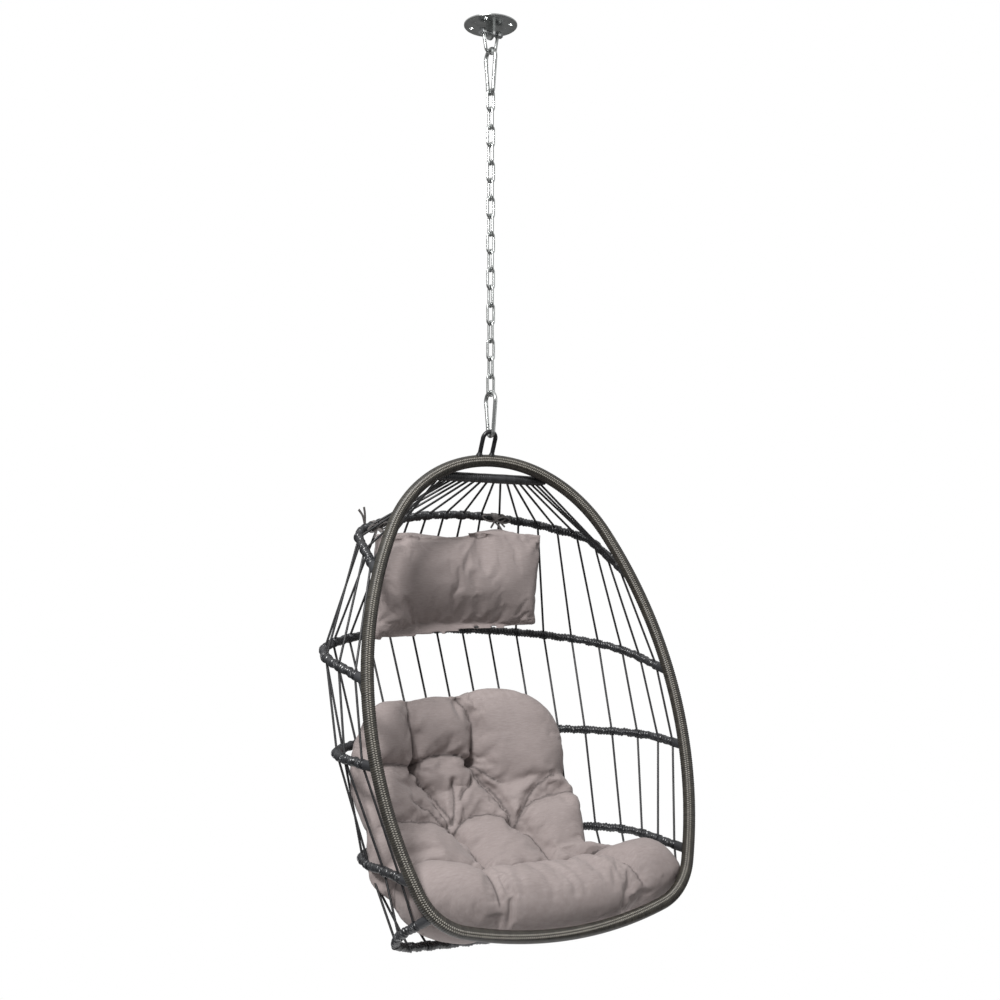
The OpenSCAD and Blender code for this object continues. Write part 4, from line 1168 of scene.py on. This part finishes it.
def wrinkle(p, normals):
    # sharp seams in the channels, folds that run out from the tufts, slack puckers along the seams
    place = seatPlace(p)
    x, s, f = place[:, 0], place[:, 1], place[:, 1] / seatPad["length"]
    flat = x - seatAside(f)
    front = np.clip((place[:, 2] - flat ** 2 / 2 / 600) / 12, 0, 1)
    onRoll = ease(f, 0.8, 0.85)
    out = np.zeros(len(p))
    for n, (tx, ts) in enumerate(tufts.values()):
        dx, ds = x - tx, s - ts
        d, a = np.hypot(dx, ds), np.arctan2(ds, dx)
        spoke = np.cos(7 * a + 1.3 * n + 0.9 * np.sin(3 * a + n)) * 0.6 + np.cos(11 * a + 2.1 * n) * 0.4
        out += 3.0 * spoke * np.exp(-((d - 24) / 24) ** 2) - 9.0 * np.exp(-(d / 8) ** 2)
    for n, (points, deep, rise) in enumerate(channelLines):
        d = awayFrom(points, x, s)
        out += -4.5 * np.exp(-(d / 4.2) ** 2) * (1 - onRoll)
        pucker = np.sin((x + 1.3 * s) / 8.5 + 2.2 * np.sin(s / 33.0 + n) + n)
        out += 1.7 * pucker * np.exp(-((d - 12) / 13) ** 2) * (1 - onRoll)
    for points, deep, wide in folds:
        d = awayFrom(rounded(points), x, s)
        out += -deep * np.exp(-(d / wide) ** 2) + 0.4 * deep * np.exp(-((d - 2.2 * wide) / wide) ** 2)
    ds = s - seatPad["crease"] * seatPad["length"]
    out += -5 * np.exp(-(ds / 5) ** 2) + 1.8 * np.sin(x / 11.0
                                                      + 1.7 * np.sin(x / 41.0)) * np.exp(-(ds / 20) ** 2)
    for n, (at, leanOver, deep, rise) in enumerate(rollCreases):
        off = x - at - leanOver * np.clip((f - 0.86) / 0.13, 0, 1)
        out += onRoll * (-6.0 * np.exp(-(off / 4.5) ** 2)
                         + 2.0 * np.sin(s / 8.0 + off / 14 + n) * np.exp(-((np.abs(off) - 16) / 12) ** 2))
    for at, slope, deep in ((8, 0.5, 4.5), (40, 0.35, 3.2), (-40, 0.3, 3.0), (96, 0.3, 2.2),
                            (-96, -0.3, 2.4)):
        out += -deep * onRoll * np.exp(-((x - at - slope * (s - 640)) / 8) ** 2)
    slow = np.array([noise.noise(Vector((v[0] / 70, v[1] / 70, v[2] / 70))) for v in p])
    fine = np.array([noise.noise(Vector((v[0] / 22, v[1] / 45, v[2] / 22))) for v in p])
    return (out + 2.6 * slow + 0.9 * fine) * front + (1 - front) * 1.5 * slow


# painted shade mask of the seat cover: near 1 along the channels, folds, tufts, the crease before the roll
# and the roll's creases, on the cover's front
def seatFoldShade(p):
    place = seatPlace(p)
    x, s, f = place[:, 0], place[:, 1], place[:, 1] / seatPad["length"]
    front = np.clip(place[:, 2] / 10, 0, 1)
    onRoll = ease(f, 0.8, 0.85)
    out = np.zeros(len(p))
    for points, deep, rise in channelLines:
        out = np.maximum(out, 0.85 * np.exp(-(awayFrom(points, x, s) / 2.6) ** 2) * (1 - onRoll))
    for points, deep, wide in folds:
        out = np.maximum(out, 0.8 * np.exp(-(awayFrom(rounded(points), x, s) / 2.4) ** 2))
    for tx, ts in tufts.values():
        out = np.maximum(out, 0.9 * np.exp(-(np.hypot(x - tx, s - ts) / 6) ** 2))
    out = np.maximum(out, 0.7 * np.exp(-((s - seatPad["crease"] * seatPad["length"]) / 3) ** 2))
    for at, leanOver, deep, rise in rollCreases:
        off = x - at - leanOver * np.clip((f - 0.86) / 0.13, 0, 1)
        out = np.maximum(out, 0.85 * np.exp(-(off / 2.6) ** 2) * onRoll)
    return out * front


def shiftAlongNormals(o, amount):
    mesh = o.data
    n = len(mesh.vertices)
    co, no = np.empty(n * 3), np.empty(n * 3)
    mesh.vertices.foreach_get("co", co)
    mesh.vertex_normals.foreach_get("vector", no)
    co, no = co.reshape(-1, 3), no.reshape(-1, 3)
    co = co + no * (amount(co / mm, no) * mm)[:, None]
    mesh.vertices.foreach_set("co", co.ravel())
    mesh.update()


def finishSoft(o):
    mod = o.modifiers.new("fine", "SUBSURF")
    mod.levels = mod.render_levels = 1
    deps = bpy.context.evaluated_depsgraph_get()
    mesh = bpy.data.meshes.new_from_object(o.evaluated_get(deps))
    o.modifiers.remove(mod)
    o.data = mesh
    mesh.polygons.foreach_set("use_smooth", [True] * len(mesh.polygons))


def makeSeat():
    v, f = seatForm()
    o = addMesh("seatCushion", v, f, "cloth")
    bm = bmesh.new()
    bm.from_mesh(o.data)
    bmesh.ops.recalc_face_normals(bm, faces=bm.faces)
    bm.to_mesh(o.data)
    bm.free()
    puff(o, seatPad, seatPins)
    shiftAlongNormals(o, wrinkle)
    finishSoft(o)
    setWeave(o, seatPlace)
    setFoldShade(o, seatFoldShade)
    return o


seat = makeSeat()
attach(seat, "chair")
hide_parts("seat_cushion")
print("seat cushion made", len(seat.data.polygons))

# ---- head pillow ----

pillowSet = dict(middle=(-47, 118, -262), width=446, height=222, thick=108, tilt=8, curl=560, hollow=0.07,
                 droop=34, pull=14,
                 voxel=5.5, pressure=4.0, frames=20, cap=22)


def pillowForm(steps=60, tenths=32, shrink=3.0):
    q = pillowSet
    tilt = math.radians(q["tilt"])
    verts = []
    ringPoints = 4 * tenths
    for i in range(steps + 1):
        f = 2 * i / steps - 1
        for j in range(ringPoints):
            place = (j - tenths) / tenths if j <= 2 * tenths else (3 * tenths - j) / tenths
            ahead = j <= 2 * tenths
            x = place * (q["width"] / 2 - shrink) * (1 - 0.04 * (1 - abs(f) ** 3))
            z = f * (q["height"] / 2 - shrink) * (1 - q["hollow"] * (1 - abs(place) ** 3))
            z -= q["droop"] * ease(-place, 0.25, 1.2) * (0.62 - 0.38 * f)
            z += ease(f, 0.2, 1) * (q["pull"] * dip(place, 0.54, 0.2) - 5 * dip(place, 0.05, 0.35))
            full = (q["thick"] / 2 - shrink) * float(crownOf(place)) ** 0.8 * math.sqrt(max(0,
                1 - (abs(f) * 0.985) ** 3)) + 0.5
            lift = -(full if ahead else -full) - x * x / 2 / q["curl"] - 9 * ease(-f, 0.3, 1)
            verts.append(rimTop + vec(*q["middle"])
                         + vec(x, lift * math.cos(tilt) - z * math.sin(tilt),
                               z * math.cos(tilt) + lift * math.sin(tilt)))
    faces = []
    for i in range(steps):
        for j in range(ringPoints):
            k = (j + 1) % ringPoints
            a, b = i * ringPoints, (i + 1) * ringPoints
            faces.append((a + j, b + j, b + k, a + k))
    verts = np.array(verts)
    for ring in (0, steps):
        base, mid = ring * ringPoints, len(verts)
        verts = np.vstack([verts, (verts[base] + verts[base + 2 * tenths]) / 2])
        for j in range(ringPoints):
            k = (j + 1) % ringPoints
            faces.append((mid, base + k, base + j) if ring else (mid, base + j, base + k))
    return verts, faces


def pillowPlace(p):
    q = pillowSet
    d = p - rimTop - vec(*q["middle"])
    tilt = math.radians(q["tilt"])
    z = d[:, 2] * math.cos(tilt) - d[:, 1] * math.sin(tilt)
    y = d[:, 1] * math.cos(tilt) + d[:, 2] * math.sin(tilt)
    return np.stack([d[:, 0], z, y + d[:, 0] ** 2 / 2 / q["curl"]], 1)


def pillowPins(p):
    place = pillowPlace(p)
    edge = np.maximum(np.abs(place[:, 0]) / (pillowSet["width"] / 2),
                      np.abs(place[:, 1]) / (pillowSet["height"] / 2))
    return np.clip((edge - 0.93) / 0.05, 0, 1) * 0.9


def pillowFolds(p, normals):
    place = pillowPlace(p)
    x, z = place[:, 0] / (pillowSet["width"] / 2), place[:, 1] / (pillowSet["height"] / 2)
    out = np.zeros(len(p))
    for cx, cz in ((-1, 1), (1, 1), (-1, -1), (1, -1)):
        dx, dz = (x - cx * 0.97) * 223, (z - cz * 0.95) * 111
        d, a = np.hypot(dx, dz), np.arctan2(dz, dx)
        out += 1.5 * np.cos(9 * a + cx + 2 * cz) * np.exp(-((d - 38) / 30) ** 2)
    edge = np.exp(-((1 - np.maximum(np.abs(x), np.abs(z))) * 12) ** 2)
    out += 0.4 * edge * np.sin((place[:, 0] + place[:, 1]) / 9 + 2 * np.sin(place[:, 0] / 31))
    slow = np.array([noise.noise(Vector((v[0] / 85, v[1] / 85, v[2] / 60))) for v in p])
    fine = np.array([noise.noise(Vector((v[0] / 30, v[1] / 30, v[2] / 30))) for v in p])
    return out + 2.2 * slow + 0.5 * fine


def makePillow():
    v, f = pillowForm()
    o = addMesh("headPillow", v, f, "cloth")
    bm = bmesh.new()
    bm.from_mesh(o.data)
    bmesh.ops.recalc_face_normals(bm, faces=bm.faces)
    bm.to_mesh(o.data)
    bm.free()
    puff(o, pillowSet, pillowPins)
    shiftAlongNormals(o, pillowFolds)
    finishSoft(o)
    setWeave(o, pillowPlace)
    return o


pillow = makePillow()
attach(pillow, "chair")
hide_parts("head_pillow")
print("head pillow made", len(pillow.data.polygons))

# ---- ties that hold the pillow to the first rib ----

tieSet = dict(places=(-5.4, 1.7), loops=((-36, 6, 7), (34, 4, 8), (25, 9, 5)),
              tails=((-14, -20, 5), (22, -14, 6)),
              ends=(-6.0, ((-20, 34), (-7, 40))))


def ribbon(points, width, thick, up, taper=True):
    p = np.asarray(points)
    t, s, u = frameAlong(p, False, up)
    prof = [(-0.5, -0.5), (0.5, -0.5), (0.5, 0.5), (-0.5, 0.5)]
    verts, uv = [], []
    lengths = np.concatenate([[0], np.cumsum(np.linalg.norm(np.diff(p, axis=0), axis=1))])
    for i in range(len(p)):
        for a, b in prof:
            verts.append(p[i] + s[i] * a * width + u[i] * b * thick)
            uv.append((a * width, lengths[i]))
    faces = []
    for i in range(len(p) - 1):
        for j in range(4):
            k = (j + 1) % 4
            faces.append((i * 4 + j, i * 4 + k, (i + 1) * 4 + k, (i + 1) * 4 + j))
    faces += [(3, 2, 1, 0), tuple(len(verts) - 4 + i for i in range(4))]
    return np.array(verts), faces, np.array(uv)


def makeTies():
    rib = ribs[0]
    parts = []
    for n, place in enumerate(tieSet["places"]):
        s = place * rib.step
        at, way, up = rib.at(s), rib.way(s), rib.up()
        side = np.cross(way, up)
        r = ribShape["wound"] / 2 + 1.6
        for off in (-3.4, 3.4):
            ring = [at + way * (off + 0.05 * k) + r * (math.cos(a) * side + math.sin(a) * up)
                    for k, a in enumerate(np.linspace(0, 2 * math.pi, 25))]
            parts.append(ribbon(ring, 6.2, 1.4, np.array([(q - at) - way * ((q - at) @ way) for q in ring])))
        front = -side if (-side)[1] < side[1] else side
        knot = at + front * (r + 1.5)
        down = vec(0, -0.2, -1)
        for dx, dz, out in tieSet["loops"]:
            line = smoothLine([knot, knot + way * dx * 0.5 + vec(0, -out, dz + 5),
                               knot + way * dx + vec(0, -out, dz),
                               knot + way * dx * 0.8 + vec(0, -out * 0.8, dz - 8),
                               knot + way * dx * 0.35 + vec(0, -out * 0.5, dz * 0.2 - 6),
                               knot + vec(0, -1, -1)], 40)
            parts.append(ribbon(line, 3.6, 1.5, vec(0.1, -1, 0.3)))
        for dx, dz, out in tieSet["tails"]:
            line = smoothLine([knot, knot + way * dx * 0.5 + vec(0, -out, dz * 0.4),
                               knot + way * dx + vec(0, -out, dz)], 16)
            parts.append(ribbon(line, 4.4, 1.4, vec(0.1, -1, 0.3)))
        top = pillowTopUnder(at)
        line = smoothLine([at - front * 3 + vec(0, 0, -9), (at + top) / 2 + vec(0, -1.5, 0), top], 12)
        parts.append(ribbon(line, 8, 1.5, vec(0.1, -1, 0.2)))
    place, ends = tieSet["ends"]
    foot = rib.at(place * rib.step)
    for dx, dz in ends:  # stiff ends that stick up at the far corner
        line = smoothLine([foot + vec(0, 0, 7), foot + vec(dx * 0.4, -6, 7 + dz * 0.6),
                           foot + vec(dx, -10, 7 + dz)], 12)
        parts.append(ribbon(line, 5.0, 1.8, vec(0.3, -1, 0)))
    v, f, uv = joined(parts)
    o = addMesh("pillowTies", v, f, "tie", uv, smooth=False)
    n = len(o.data.vertices)
    att = o.data.attributes.new("weave", "FLOAT_VECTOR", "POINT")
    att.data.foreach_set("vector", (np.hstack([uv, np.zeros((n, 1))]) * mm).astype(np.float32).ravel())
    return o


def pillowTopUnder(at):
    q = pillowSet
    tilt = math.radians(q["tilt"])
    x = at[0] - rimTop[0] - q["middle"][0]
    x = max(-200, min(200, x))
    z = q["height"] / 2 - 8
    lift = -x * x / 2 / q["curl"]
    return rimTop + vec(*q["middle"]) + vec(x, lift * math.cos(tilt) - z * math.sin(tilt),
                                            z * math.cos(tilt) + lift * math.sin(tilt))


ties = makeTies()
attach(ties, "chair")
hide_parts("pillow_ties")
print("ties made")
